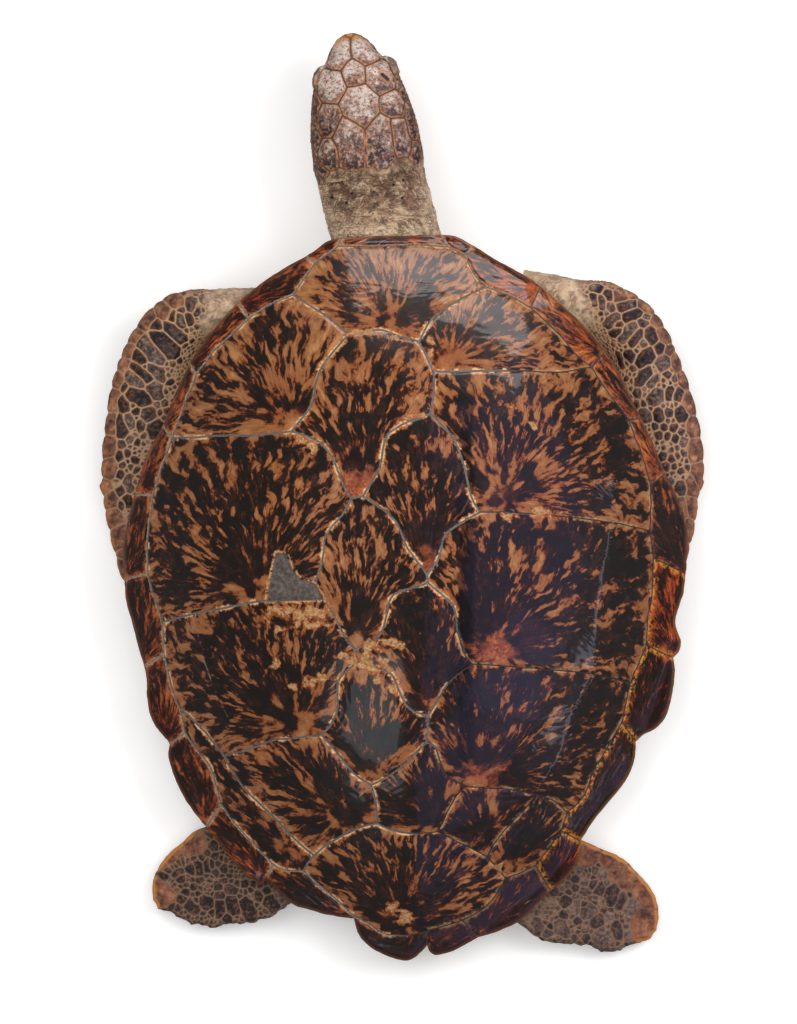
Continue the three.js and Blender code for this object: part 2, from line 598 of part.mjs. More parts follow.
// A hind flipper: a bevelled plate cut to its outline and sloped down from root to tip.
function makeHindFlipper({ outline, root, tip }) {
  const centre = [0, 1].map((i) => outline.reduce((sum, p) => sum + p[i], 0) / outline.length);
  const inset = outline.map(([x, y]) => {
    const reach = Math.hypot(x - centre[0], y - centre[1]);
    const share = 1 - PADDLE.bevel / reach;
    return new THREE.Vector2(...onFrame(mix(centre[0], x, share), mix(centre[1], y, share)));
  });
  const shape = new THREE.Shape();
  shape.setFromPoints(new THREE.SplineCurve([...inset, inset[0]]).getSpacedPoints(46).slice(0, -1));
  const plate = new THREE.ExtrudeGeometry(shape, {
    depth: PADDLE.thickness - 2 * PADDLE.bevel, steps: 1,
    bevelThickness: PADDLE.bevel, bevelSize: PADDLE.bevel, bevelSegments: 2,
  });
  const spots = plate.attributes.position;
  const run = new THREE.Vector2(...onFrame(...tip)).sub(new THREE.Vector2(...onFrame(...root)));
  for (let i = 0; i < spots.count; i++) {
    const [rx, ry] = onFrame(...root);
    const share = ((spots.getX(i) - rx) * run.x + (spots.getY(i) - ry) * run.y) / run.lengthSq();
    const swell = 1 + 0.6 * THREE.MathUtils.clamp(1 - share, 0, 1);
    const level = spots.getZ(i) - 0.5 * (PADDLE.thickness - 2 * PADDLE.bevel);
    spots.setZ(i, level * swell + mix(root[2], tip[2], THREE.MathUtils.clamp(share, 0, 1)));
  }
  return plate;
}

const TAIL_STATIONS = [[424, 836, 46, 26, 16], [425, 864, 42, 22, 15], [426, 900, 40, 15, 11], [427, 928, 38, 8, 6.5], [427, 942, 37, 2.5, 2.5]];

function makeTail(margin = 0) {
  const around = 12;
  return loft(TAIL_STATIONS.map(([x, y, z, half, depth], i) => {
    const ring = [];
    for (let k = 0; k < around; k++) {
      const angle = (2 * Math.PI * k) / around;
      const right = (half + margin) * Math.cos(angle);
      ring.push([...onFrame(x + right, y - (i === 0 ? margin : 0)), z + (depth + margin) * Math.sin(angle)]);
    }
    return ring;
  }));
}

// ---------------------------------------------------------------- assembly

const keratin = material(0x3a2218, 0.3);
const bellyHorn = material(0xb98e56, 0.45);
const skin = material(0x9a7d63, 0.85);
const headHorn = material(0x8c6a56, 0.5);
const scales = material(0x4a362c, 0.5);
const hindScales = material(0x6b4a38, 0.55);
const glassEye = material(0x140d0a, 0.08);

const turtle = new THREE.Group();

function add(name, geometry, look) {
  const mesh = new THREE.Mesh(geometry, look);
  mesh.name = name;
  turtle.add(mesh);
  return mesh;
}

const foreCutters = [makeForeFlipper(LEFT_FORE, null, '', GAP), makeForeFlipper(RIGHT_FORE, null, '', GAP)];
const neckCutter = makeNeck(GAP);
const tailCutter = makeTail(GAP);

// Cuts a piece back from its neighbours' grown forms.
function cutBack(geometry, cutters) {
  return geometryOf(cutters.reduce((solid, cutter) => solid.subtract(solidOf(cutter)), solidOf(geometry)));
}

function grown(geometry, share) {
  const copy = geometry.clone();
  copy.computeBoundingBox();
  const middle = copy.boundingBox.getCenter(new THREE.Vector3());
  copy.translate(-middle.x, -middle.y, -middle.z).scale(1 + share, 1 + share, 1 + share);
  return copy.translate(middle.x, middle.y, middle.z);
}

const plastron = makePlastron();
const hindPieces = [makeHindFlipper(LEFT_HIND), makeHindFlipper(RIGHT_HIND)];
const hindCutters = hindPieces.map((piece) => grown(piece, 0.02));
const limbs = [...foreCutters, neckCutter];
const skullSpace = loft([-90, 90].map((right) => [[-GAP, -80], [40, -80], [40, 80], [-GAP, 80]].map(
  ([along, up]) => onHead(along, right, up),
)));

const carapace = cutBack(makeCarapace(), limbs);
const lowered = carapace.clone().translate(0, 0, -GAP);
const belly = [[0, 0, 1], [1, 0, 0], [-1, 0, 0], [0, 1, 0], [0, -1, 0]].map(
  ([x, y, z]) => plastron.clone().translate(x * GAP, y * GAP, z * GAP),
);

add('carapace', carapace, keratin);
add('plastron', plastron, bellyHorn);
add('body_skin', makeBodySkin([lowered, ...belly, ...limbs, ...hindCutters, tailCutter]), skin);
add('neck', cutBack(makeNeck(), [skullSpace]), skin);
add('head', makeHead(), headHorn);
add('lower_jaw', makeJaw(), headHorn);
add('eye_left', eyeBall(-1, 0), glassEye);
add('eye_right', eyeBall(1, 0), glassEye);
add('fore_flipper_left', makeForeFlipper(LEFT_FORE, CLAWS.left, 'left'), scales);
add('fore_flipper_right', makeForeFlipper(RIGHT_FORE, CLAWS.right, 'right'), scales);
add('hind_flipper_left', hindPieces[0], hindScales);
add('hind_flipper_right', hindPieces[1], hindScales);
add('tail', makeTail(), hindScales);

export default turtle;
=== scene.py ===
import math
import bpy
import numpy as np
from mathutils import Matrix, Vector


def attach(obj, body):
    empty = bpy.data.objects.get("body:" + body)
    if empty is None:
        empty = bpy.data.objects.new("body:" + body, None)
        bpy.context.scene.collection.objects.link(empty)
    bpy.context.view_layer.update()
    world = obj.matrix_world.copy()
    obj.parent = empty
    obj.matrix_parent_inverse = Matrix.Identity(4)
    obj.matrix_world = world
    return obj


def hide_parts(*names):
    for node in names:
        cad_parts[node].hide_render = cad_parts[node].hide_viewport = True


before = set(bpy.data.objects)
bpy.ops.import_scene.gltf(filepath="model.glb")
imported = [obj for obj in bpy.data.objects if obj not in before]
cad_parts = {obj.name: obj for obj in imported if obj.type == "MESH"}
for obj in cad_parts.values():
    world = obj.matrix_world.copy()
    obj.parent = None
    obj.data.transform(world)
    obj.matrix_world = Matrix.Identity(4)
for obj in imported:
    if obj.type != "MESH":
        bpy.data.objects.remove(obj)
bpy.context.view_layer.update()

print("frame loaded,", len(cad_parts), "nodes")

# Plan points are read on a sheet seen from above, head up: x to the right, y down to the tail, 1 = 1 mm.
sheet = {"x": 405.0, "y": 560.0, "millimetre": 0.001}


# ---- small helpers ----

# sheet x and y and a height, all in mm, to metres: X = (405 - x) / 1000, Y = (y - 560) / 1000, Z = z / 1000
def onFrame(x, y, z):
    placed = np.stack([sheet["x"] - x, y - sheet["y"] + 0.0 * x, z + 0.0 * x], axis=-1)
    return placed * sheet["millimetre"]


# a smooth curve through rows of (place, values): cubic pieces whose slopes come from the neighbouring rows
def smoothCurve(rows, t):
    rows = np.asarray(rows, float)
    place = rows[:, 0]
    value = rows[:, 1:]
    slope = np.gradient(value, place, axis=0, edge_order=1)
    slope[1:-1] = (value[2:] - value[:-2]) / (place[2:] - place[:-2])[:, None]
    t = np.asarray(t, float)
    i = np.clip(np.searchsorted(place, t) - 1, 0, len(place) - 2)
    span = (place[i + 1] - place[i])[..., None]
    u = np.clip((t - place[i])[..., None] / span, 0, 1)
    ends = value[i] * (1 + 2 * u) * (1 - u) ** 2 + value[i + 1] * u * u * (3 - 2 * u)
    bends = slope[i] * span * u * (1 - u) ** 2 - slope[i + 1] * span * u * u * (1 - u)
    curve = ends + bends
    return curve[..., 0] if curve.shape[-1] == 1 else curve


# 0 below low, 1 above high, and 3t^2 - 2t^3 between
def easeStep(low, high, t):
    share = np.clip((t - low) / (high - low), 0, 1)
    return share * share * (3 - 2 * share)


# a repeatable number from 0 to 1 for each whole-number cell: the fraction of a large sine
def cellNumber(i, j, seed):
    return np.abs(np.sin(i * 127.1 + j * 311.7 + seed * 74.7) * 43758.5453) % 1.0


# smooth noise from -1 to 1: the numbers at a cell's corners, blended with cubic weights
def softNoise(x, y, seed=0):
    i = np.floor(x)
    j = np.floor(y)
    u = x - i
    v = y - j
    u = u * u * (3 - 2 * u)
    v = v * v * (3 - 2 * v)
    low = cellNumber(i, j, seed) * (1 - u) + cellNumber(i + 1, j, seed) * u
    high = cellNumber(i, j + 1, seed) * (1 - u) + cellNumber(i + 1, j + 1, seed) * u
    return 2 * (low * (1 - v) + high * v) - 1


# octaves of smooth noise, each half as strong and twice as fine as the one before
def roughNoise(x, y, seed=0, octaves=3):
    total = 0.0 * x
    for octave in range(octaves):
        total = total + softNoise(x * 2 ** octave, y * 2 ** octave, seed + 7 * octave) / 2 ** octave
    return total


# the shortest way from points to straight segments, rows of x0, y0, x1, y1
def segmentDistance(px, py, segments):
    nearest = np.full(px.shape, 1e6)
    if len(segments) == 0:
        return nearest
    for part in np.array_split(segments, max(1, len(segments) // 80)):
        ax = part[:, 0]
        ay = part[:, 1]
        dx = part[:, 2] - ax
        dy = part[:, 3] - ay
        reach = (px[..., None] - ax) * dx + (py[..., None] - ay) * dy
        share = np.clip(reach / (dx * dx + dy * dy + 1e-9), 0, 1)
        away = np.hypot(px[..., None] - ax - share * dx, py[..., None] - ay - share * dy)
        nearest = np.minimum(nearest, away.min(axis=-1))
    return nearest


# a drawn line as its segments
def segmentsOf(line):
    line = np.asarray(line, float)
    return np.concatenate([line[:-1], line[1:]], axis=1)


# A pattern of scales. Each scale grows from a capsule (two ends and a radius); a point belongs to the
# scale whose capsule's skin is nearest, and half the lead over the second is its distance from the border.
def scalePattern(px, py, capsules):
    first = np.full(px.shape, 1e6)
    second = np.full(px.shape, 1e6)
    owner = np.zeros(px.shape, int)
    for number, (x0, y0, x1, y1, radius) in enumerate(capsules):
        dx = x1 - x0
        dy = y1 - y0
        share = np.clip(((px - x0) * dx + (py - y0) * dy) / (dx * dx + dy * dy + 1e-9), 0, 1)
        away = np.hypot(px - x0 - share * dx, py - y0 - share * dy) - radius
        closer = away < first
        second = np.where(closer, first, np.minimum(second, away))
        owner = np.where(closer, number, owner)
        first = np.where(closer, away, first)
    return 0.5 * (second - first), owner


# capsules read on an enlarged part of the sheet, brought back to sheet size; a round one is x, y and radius
def toSheet(capsules, enlarged):
    rows = np.array([row if len(row) == 5 else (*row[:2], *row) for row in capsules], float)
    return rows / enlarged["times"] + [enlarged["x"], enlarged["y"], enlarged["x"], enlarged["y"], 0]


# Small scales on a jittered grid, left out where they would fall inside a larger one or where the nearest
# larger one is a plate, numbered from barred on.
def fillScales(low, high, spacing, radius, seed, keepClear=None, clearance=0.45, barred=None):
    across = np.arange(low[0], high[0], spacing)
    along = np.arange(low[1], high[1], spacing)
    i, j = np.meshgrid(np.arange(len(across)), np.arange(len(along)), indexing="ij")
    x = across[i] + spacing * 0.8 * (cellNumber(i, j, seed) - 0.5) + 0.5 * spacing * (j % 2)
    y = along[j] + spacing * 0.8 * (cellNumber(i, j, seed + 3) - 0.5)
    x = x.ravel()
    y = y.ravel()
    size = radius * (0.6 + 0.8 * cellNumber(i, j, seed + 5)).ravel()
    if keepClear is not None:
        gap = np.full(x.shape, 1e6)
        nearest = np.zeros(x.shape, int)
        for number, (x0, y0, x1, y1, r) in enumerate(keepClear):
            away = segmentDistance(x, y, np.array([[x0, y0, x1, y1]])) - r
            nearest = np.where(away < gap, number, nearest)
            gap = np.minimum(gap, away)
        clear = gap > clearance * spacing
        if barred is not None:  # plates that no small scales grow beside
            clear &= nearest < barred
        x, y, size = x[clear], y[clear], size[clear]
    return np.stack([x, y, x, y, size], axis=1)


# the angles of the columns round a ring, as a row
def roundAngles(columns):
    return np.linspace(0, 2 * math.pi, columns, endpoint=False)[None]


# the smooth values of listed stations at places t counted in stations, one row of them for each place
def stationValues(stations, t):
    return smoothCurve([(place, *station) for place, station in enumerate(stations)], t)[:, None, :]


# cos or sin drawn out towards a rounded square: the sign kept, the size raised to a power below 1
def squared(value, power):
    return np.sign(value) * np.abs(value) ** power


# a bell round a place, 1 there and 1 / e at the width
def bell(away, width):
    return np.exp(-(away / width) ** 2)


# the plan limits of points, with a margin round them
def aroundPlan(x, y, margin=4):
    return (x.min() - margin, y.min() - margin), (x.max() + margin, y.max() + margin)


# relief of scales: a step up from every border, eased over its softness, with rough noise on top
def scaleRelief(border, x, y, look, sunk, grain, fineness, seed, octaves=2):
    raised = look["relief"] * (1 - np.exp(-np.maximum(border, 0) / look["softness"])) - sunk
    return raised + grain * roughNoise(x / fineness, y / fineness, seed, octaves)


# ---- mesh making ----

# puts a new object that holds the data into the scene, at the origin
def addObject(name, data):
    added = bpy.data.objects.new(name, data)
    bpy.context.scene.collection.objects.link(added)
    return added


# a smooth-shaded mesh object from points in metres, four-sided faces and three-sided faces
def makeMesh(name, points, quads, triangles=()):
    quads = np.asarray(quads, np.int32).reshape(-1, 4)
    triangles = np.asarray(triangles, np.int32).reshape(-1, 3)
    corners = np.concatenate([quads.ravel(), triangles.ravel()])
    starts = np.concatenate([np.arange(len(quads)) * 4, len(quads) * 4 + np.arange(len(triangles)) * 3])
    mesh = bpy.data.meshes.new(name)
    mesh.vertices.add(len(points))
    mesh.vertices.foreach_set("co", np.ascontiguousarray(points, np.float32).ravel())
    mesh.loops.add(len(corners))
    mesh.loops.foreach_set("vertex_index", corners.astype(np.int32))
    mesh.polygons.add(len(starts))
    mesh.polygons.foreach_set("loop_start", starts.astype(np.int32))
    mesh.polygons.foreach_set("use_smooth", np.ones(len(starts), bool))
    mesh.update(calc_edges=True)
    return addObject(name, mesh)


# values per point or per face, read by the materials under their name
def giveValues(piece, name, values, where="POINT"):
    values = np.asarray(values, np.float32)
    kind = "FLOAT" if values.ndim == 1 else "FLOAT_VECTOR"
    layer = piece.data.attributes.new(name, kind, where)
    layer.data.foreach_set("value" if values.ndim == 1 else "vector", np.ascontiguousarray(values).ravel())


# four-sided faces of a grid of rows x columns points, closed around the columns
def ringQuads(rows, columns, start=0):
    i, j = np.meshgrid(np.arange(rows - 1), np.arange(columns), indexing="ij")
    a = start + i * columns + j
    b = start + i * columns + (j + 1) % columns
    return np.stack([a, b, b + columns, a + columns], axis=-1).reshape(-1, 4)


# triangles that close one row of a ring grid round a middle point
def fanTriangles(row, columns, middle, forward, start=0):
    j = np.arange(columns)
    a = start + row * columns + j
    b = start + row * columns + (j + 1) % columns
    centre = np.full(columns, middle)
    return np.stack([a, b, centre] if forward else [b, a, centre], axis=-1)


# a closed tube-like piece from a ring grid of points in metres, its two ends closed by fans
def makeTube(name, points, values):
    rows, columns = points.shape[:2]
    middles = np.stack([points[0].mean(axis=0), points[-1].mean(axis=0)])
    everything = np.concatenate([points.reshape(-1, 3), middles])
    quads = ringQuads(rows, columns)
    fans = np.concatenate([
        fanTriangles(0, columns, rows * columns, False),
        fanTriangles(rows - 1, columns, rows * columns + 1, True),
    ])
    ring = points - points.mean(axis=1, keepdims=True)
    turn = np.cross(np.gradient(points, axis=0), np.roll(points, -1, axis=1) - points)
    if np.sum(turn * ring) > 0:  # the faces would point inwards
        quads = quads[:, ::-1]
        fans = fans[:, ::-1]
    piece = makeMesh(name, everything, quads, fans)
    for key, value in values.items():
        giveValues(piece, key, np.concatenate([value.ravel(), [value[0].mean(), value[-1].mean()]]))
    return piece


# gives a piece its material, hangs it on the root, and hides the imported nodes that it stands for
def stand(piece, material, slot, *nodes):
    piece.data.materials.append(material)
    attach(piece, "root")
    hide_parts(*nodes)
    print("made", piece.name, len(piece.data.polygons), "faces")
    return piece


# ---- material making ----

# a screen colour, 0 to 255 a channel, as the linear colour that a shader takes
def colour(red, green, blue):
    share = np.array([red, green, blue]) / 255
    linear = np.where(share <= 0.04045, share / 12.92, ((share + 0.055) / 1.055) ** 2.4)
    return (*[float(value) for value in linear], 1.0)


# the node tree that the functions below add to: the one of the material made last
current = {}


# fills a node's named sockets; a value that is another node's output is linked
def feed(node, inputs):
    for key, value in inputs.items():
        if isinstance(value, bpy.types.NodeSocket):
            current["tree"].links.new(value, node.inputs[key])
        else:
            node.inputs[key].default_value = value


# adds a node; options are its settings
def put(kind, inputs, **options):
    node = current["tree"].nodes.new(kind)
    for key, value in options.items():
        setattr(node, key, value)
    feed(node, inputs)
    return node


# one step of arithmetic on values, such as a sum, a larger of two or a size without its sign
def sums(operation, *values, clamp=False):
    return put("ShaderNodeMath", dict(enumerate(values)), operation=operation, use_clamp=clamp).outputs[0]


# the product of all the factors
def times(*factors):
    product = factors[0]
    for factor in factors[1:]:
        product = sums("MULTIPLY", product, factor)
    return product


# base + share * value
def onto(value, share, base):
    return sums("MULTIPLY_ADD", value, share, base)


# base + share * (value - 0.5): a noise moves the base up and down
def around(value, share, base):
    return onto(sums("SUBTRACT", value, 0.5), share, base)


# one step of arithmetic on vectors; a length or a dot product is a plain value
def vectorSums(operation, *values):
    node = put("ShaderNodeVectorMath", dict(enumerate(values)), operation=operation)
    return node.outputs["Value" if operation in ("LENGTH", "DOT_PRODUCT") else "Vector"]


# the x, y and z of a vector
def axesOf(vector):
    return list(put("ShaderNodeSeparateXYZ", {0: vector}).outputs)


# a vector from its x, y and z
def joined(x, y, z):
    return put("ShaderNodeCombineXYZ", {0: x, 1: y, 2: z}).outputs[0]


# a colour moved from the first towards the second by a factor; colours given as numbers are screen colours
def blendColours(factor, first, second, mode="MIX"):
    first, second = [colour(*tone) if isinstance(tone, tuple) else tone for tone in (first, second)]
    node = put("ShaderNodeMix", {0: factor, 6: first, 7: second}, data_type="RGBA", blend_type=mode)
    return node.outputs[2]


# a value moved from the first towards the second by a factor
def mixed(factor, first, second):
    return put("ShaderNodeMix", {0: factor, 2: first, 3: second}).outputs[0]


# colours along a value from 0 to 1: stops are rows of a place and a screen colour
def colourRamp(factor, stops):
    node = put("ShaderNodeValToRGB", {0: factor})
    band = node.color_ramp
    while len(band.elements) < len(stops):
        band.elements.new(0.5)
    for element, (place, *shade) in zip(band.elements, stops):
        element.position = place
        element.color = colour(*shade)
    return node.outputs[0]


# a value moved from one range to another, eased at both ends, and kept inside
def ranged(value, low, high, toLow=0.0, toHigh=1.0):
    inputs = {0: value, 1: low, 2: high, 3: toLow, 4: toHigh}
    return put("ShaderNodeMapRange", inputs, interpolation_type="SMOOTHSTEP").outputs[0]


# smooth noise from 0 to 1, with scale waves to a unit of the vector; a seed gives another noise
def noiseOf(vector, scale, detail=3.0, roughness=0.55, seed=None, distortion=0.0):
    inputs = {"Vector": vector, "Scale": scale, "Detail": detail, "Roughness": roughness}
    inputs["Distortion"] = distortion
    if seed is not None:
        inputs["W"] = seed
    return put("ShaderNodeTexNoise", inputs, noise_dimensions="3D" if seed is None else "4D").outputs[0]


# a value that the mesh holds under a name; it is 0 where the mesh has none
def readValue(name, output="Fac"):
    return put("ShaderNodeAttribute", {}, attribute_name=name, attribute_type="GEOMETRY").outputs[output]


# places on the piece in millimetres
def placesInMillimetres():
    spot = put("ShaderNodeTexCoord", {}).outputs["Object"]
    return put("ShaderNodeVectorMath", {0: spot, "Scale": 1000.0}, operation="SCALE").outputs["Vector"]


# a new material, and its shader, whose named sockets take the inputs
def newMaterial(name, inputs):
    material = bpy.data.materials.new(name)
    material.use_nodes = True
    current["tree"] = material.node_tree
    shader = material.node_tree.nodes["Principled BSDF"]
    feed(shader, inputs)
    return material, shader


# the normal of a surface raised by height * distance, with distance in metres
def bumpOf(height, strength, distance):
    return put("ShaderNodeBump", {"Height": height, "Strength": strength, "Distance": distance}).outputs[0]


# ---- carapace: where the seams between the scutes run ----

dome = {
    "x": 405.0, "y": 540.0, "top": 250.0, "halfWidth": 284.0,
    "front": (304.0, 1.85, 2.7, 1.02), "rear": (420.0, 1.74, 2.05, 1.3), "side": (2.6, 1.22),
    "rimHeights": [(230, 134), (300, 116), (400, 91), (500, 78), (620, 70), (760, 66), (880, 62), (965, 58)],
    "ceiling": 97.0, "rimHalf": 4.0,
}

junctions = {
    "L0": (338, 247), "L1": (314, 265), "L2": (293, 296), "L3": (249, 319), "L4": (197, 375),
    "L5": (173, 438), "L6": (153, 496), "L7": (148, 574), "L8": (163, 622), "L9": (164, 654),
    "L10": (180, 708), "L11": (185, 733), "L12": (221, 805), "L13": (273, 865), "L14": (304, 871),
    "L15": (353, 915), "TAIL": (427, 931), "R0": (449, 248), "R1": (464, 256), "R2": (486, 288),
    "R3": (530, 309), "R4": (591, 368), "R5": (628, 420), "R6": (650, 486), "R7": (649, 531),
    "R8": (653, 558), "R9": (646, 645), "R10": (630, 683), "R11": (622, 722), "R12": (567, 812),
    "R13": (561, 831), "R14": (536, 866), "R15": (505, 878), "R16": (463, 921), "A": (349, 336),
    "B": (419, 343), "C": (293, 432), "D": (433, 373), "E": (430, 415), "F": (363, 497), "G": (352, 498),
    "H": (479, 512), "I": (427, 574), "J": (427, 582), "M": (355, 648), "P": (268, 600), "Q": (324, 598),
    "S": (471, 662), "U": (428, 714), "W": (359, 661), "X": (322, 733), "Z": (224, 755), "V": (426, 740),
    "K": (371, 783), "N": (464, 785), "O": (438, 830), "T": (377, 822), "Y": (314, 855),
    "DD": (535, 793), "II": (487, 856), "OL0": (342, 239), "OL1": (307, 257), "OL3": (238, 303),
    "OL4": (190, 364), "OL5": (163, 426), "OL6": (135, 494), "OL7": (124, 580), "OL9": (144, 666),
    "OL11": (169, 745), "OL12": (206, 828), "OL13": (266, 878), "OL15": (354, 919), "OTAIL": (427, 946),
    "OR0": (441, 236), "OR1": (474, 247), "OR3": (540, 287), "OR4": (604, 352), "OR5": (641, 419),
    "OR6": (665, 473), "OR8": (686, 574), "OR9": (674, 658), "OR11": (636, 742), "OR13": (581, 841),
    "OR14": (551, 892), "OR16": (478, 938),
}

# the points, x and y in turn, that a seam passes between its junctions; one that isn't listed is straight
seams = {
    "L0-R0": (374, 247, 417, 246), "A-B": (367, 333, 383, 332, 396, 337), "L2-A": (314, 309, 331, 321),
    "B-R2": (430, 323, 447, 309, 467, 297), "A-C": (337, 350, 326, 363, 318, 379, 315, 392, 311, 408),
    "B-D": (426, 358), "D-E": (434, 390), "L5-C": (196, 438, 228, 436, 260, 436),
    "D-R4": (458, 373, 510, 372, 557, 373), "C-G": (314, 440, 326, 448, 334, 461, 340, 475, 346, 489),
    "E-F": (404, 425, 393, 431, 386, 438, 382, 458, 379, 470),
    "E-H": (444, 429, 453, 440, 459, 454, 464, 469, 471, 499), "H-R7": (504, 512, 557, 516, 614, 523),
    "H-I": (468, 518, 453, 527, 444, 535, 438, 558),
    "F-I": (380, 507, 390, 515, 398, 525, 407, 547, 415, 558),
    "G-Q": (343, 515, 332, 527, 326, 538, 323, 562, 317, 583), "L8-P": (196, 613, 222, 608, 252, 602),
    "J-M": (413, 587, 401, 590, 391, 597, 386, 616, 382, 629, 375, 639),
    "Q-M": (334, 613, 341, 627, 347, 638), "J-S": (438, 591, 447, 599, 453, 606, 457, 630, 463, 651),
    "S-R10": (499, 664, 543, 668, 596, 674), "S-U": (456, 673, 446, 683, 439, 695),
    "W-U": (371, 665, 386, 669, 394, 676, 399, 689, 409, 706),
    "W-X": (350, 667, 340, 677, 338, 693, 338, 707, 331, 723), "Z-X": (256, 746, 274, 739, 299, 736),
    "L10-Z": (203, 729), "U-V": (427, 727), "X-K": (332, 744, 344, 759, 355, 772),
    "V-K": (414, 753, 393, 771, 380, 779), "V-N": (433, 743, 441, 762, 446, 772),
    "N-DD": (499, 787, 520, 790), "DD-R12": (553, 800), "N-O": (456, 794, 449, 806, 444, 817),
    "K-T": (375, 796, 377, 809), "T-O": (391, 828, 416, 832), "O-II": (457, 840, 474, 849),
    "II-R15": (497, 867), "DD-II": (528, 804, 511, 822, 496, 840), "T-Y": (363, 825, 345, 833, 329, 843),
    "Y-L14": (307, 864), "Z-Y": (233, 771, 246, 789, 259, 802, 279, 822, 293, 837), "L2-L3": (270, 306),
    "L3-L4": (232, 335, 214, 352), "L4-L5": (186, 402), "L5-L6": (163, 465), "L6-L7": (148, 543),
    "L7-L8": (153, 593), "L9-L10": (168, 671, 173, 693), "L11-L12": (196, 749, 210, 766, 216, 786),
    "L12-L13": (238, 828, 261, 852), "L13-L14": (282, 870), "L14-L15": (317, 883, 335, 899),
    "L15-TAIL": (369, 925, 381, 933, 396, 936, 412, 935), "TAIL-R16": (448, 925),
    "R15-R16": (501, 887, 491, 901, 480, 911), "R1-R2": (474, 275), "R2-R3": (510, 297),
    "R3-R4": (559, 336, 574, 354), "R4-R5": (605, 390), "R5-R6": (634, 436, 641, 455, 647, 474),
    "R6-R7": (650, 509), "R8-R9": (651, 600, 647, 620), "R11-R12": (606, 749, 594, 769, 583, 797),
    "R14-R15": (520, 873), "OL0-OR0": (385, 237), "OL1-OL0": (331, 241), "OL3-OL1": (266, 281, 290, 266),
    "OL4-OL3": (216, 327), "OL5-OL4": (170, 407, 182, 380), "OL6-OL5": (140, 476, 149, 451),
    "OL7-OL6": (123, 547, 126, 526), "OL9-OL7": (140, 653, 131, 621, 126, 600),
    "OL11-OL9": (167, 741, 158, 731, 150, 717, 147, 700, 146, 680),
    "OL12-OL11": (196, 816, 180, 791, 172, 772, 168, 755),
    "OL13-OL12": (262, 885, 250, 879, 231, 860, 218, 843),
    "OL15-OL13": (336, 917, 315, 912, 291, 904, 275, 888),
    "OTAIL-OL15": (423, 951, 412, 960, 400, 961, 385, 956, 369, 947, 359, 935), "OR0-OR1": (455, 237),
    "OR1-OR3": (496, 261, 519, 273), "OR3-OR4": (569, 312, 584, 327),
    "OR4-OR5": (611, 361, 622, 380, 635, 407), "OR5-OR6": (650, 437),
    "OR6-OR8": (679, 501, 686, 521, 688, 545),
    "OR8-OR9": (684, 592, 677, 614, 676, 627, 681, 641, 680, 651),
    "OR9-OR11": (675, 673, 673, 693, 667, 715, 656, 729, 643, 736),
    "OR11-OR13": (635, 760, 626, 781, 612, 799, 595, 820), "OR13-OR14": (581, 853, 577, 866, 565, 880),
    "OR14-OR16": (536, 906, 523, 919, 510, 927, 494, 934),
    "OR16-OTAIL": (465, 946, 450, 953, 436, 956, 430, 953),
}

# Each scute: its ring of junctions, the point its streaks grow from, and how much amber and red it has.
innerScutes = [
    ("L0 L1 L2 A B R2 R1 R0", 392, 326, 0.05, 0.35), ("A B D E F G C", 360, 490, 0.035, 0.75),
    ("E H I F", 426, 568, -0.03, 0.6), ("F I J M Q G", 356, 640, 0.0, 0.2),
    ("J S U W M", 430, 706, -0.045, 0.35), ("W U V K X", 374, 776, -0.01, 0.25),
    ("V N O T K", 436, 824, -0.045, 0.3), ("T O II R15 R16 TAIL L15 L14 Y", 402, 922, -0.015, 0.2),
    ("L2 A C L5 L4 L3", 292, 424, 0.045, 0.4), ("C G Q P L8 L7 L6 L5", 262, 590, 0.0, 0.2),
    ("P Q M W X Z L10 L9 L8", 300, 724, 0.0, 0.25), ("X K T Y Z", 345, 812, 0.0, 0.2),
    ("L10 Z Y L14 L13 L12 L11", 292, 848, -0.01, 0.3), ("B R2 R3 R4 D", 448, 364, 0.03, 0.35),
    ("D R4 R5 R6 R7 H E", 500, 500, 0.018, 0.35), ("H R7 R8 R9 R10 S J I", 490, 650, -0.03, 0.6),
    ("S R10 R11 R12 DD N V U", 480, 776, -0.025, 0.5), ("N DD II O", 486, 838, -0.04, 0.3),
    ("DD R12 R13 R14 R15 II", 508, 868, -0.05, 0.3),
]
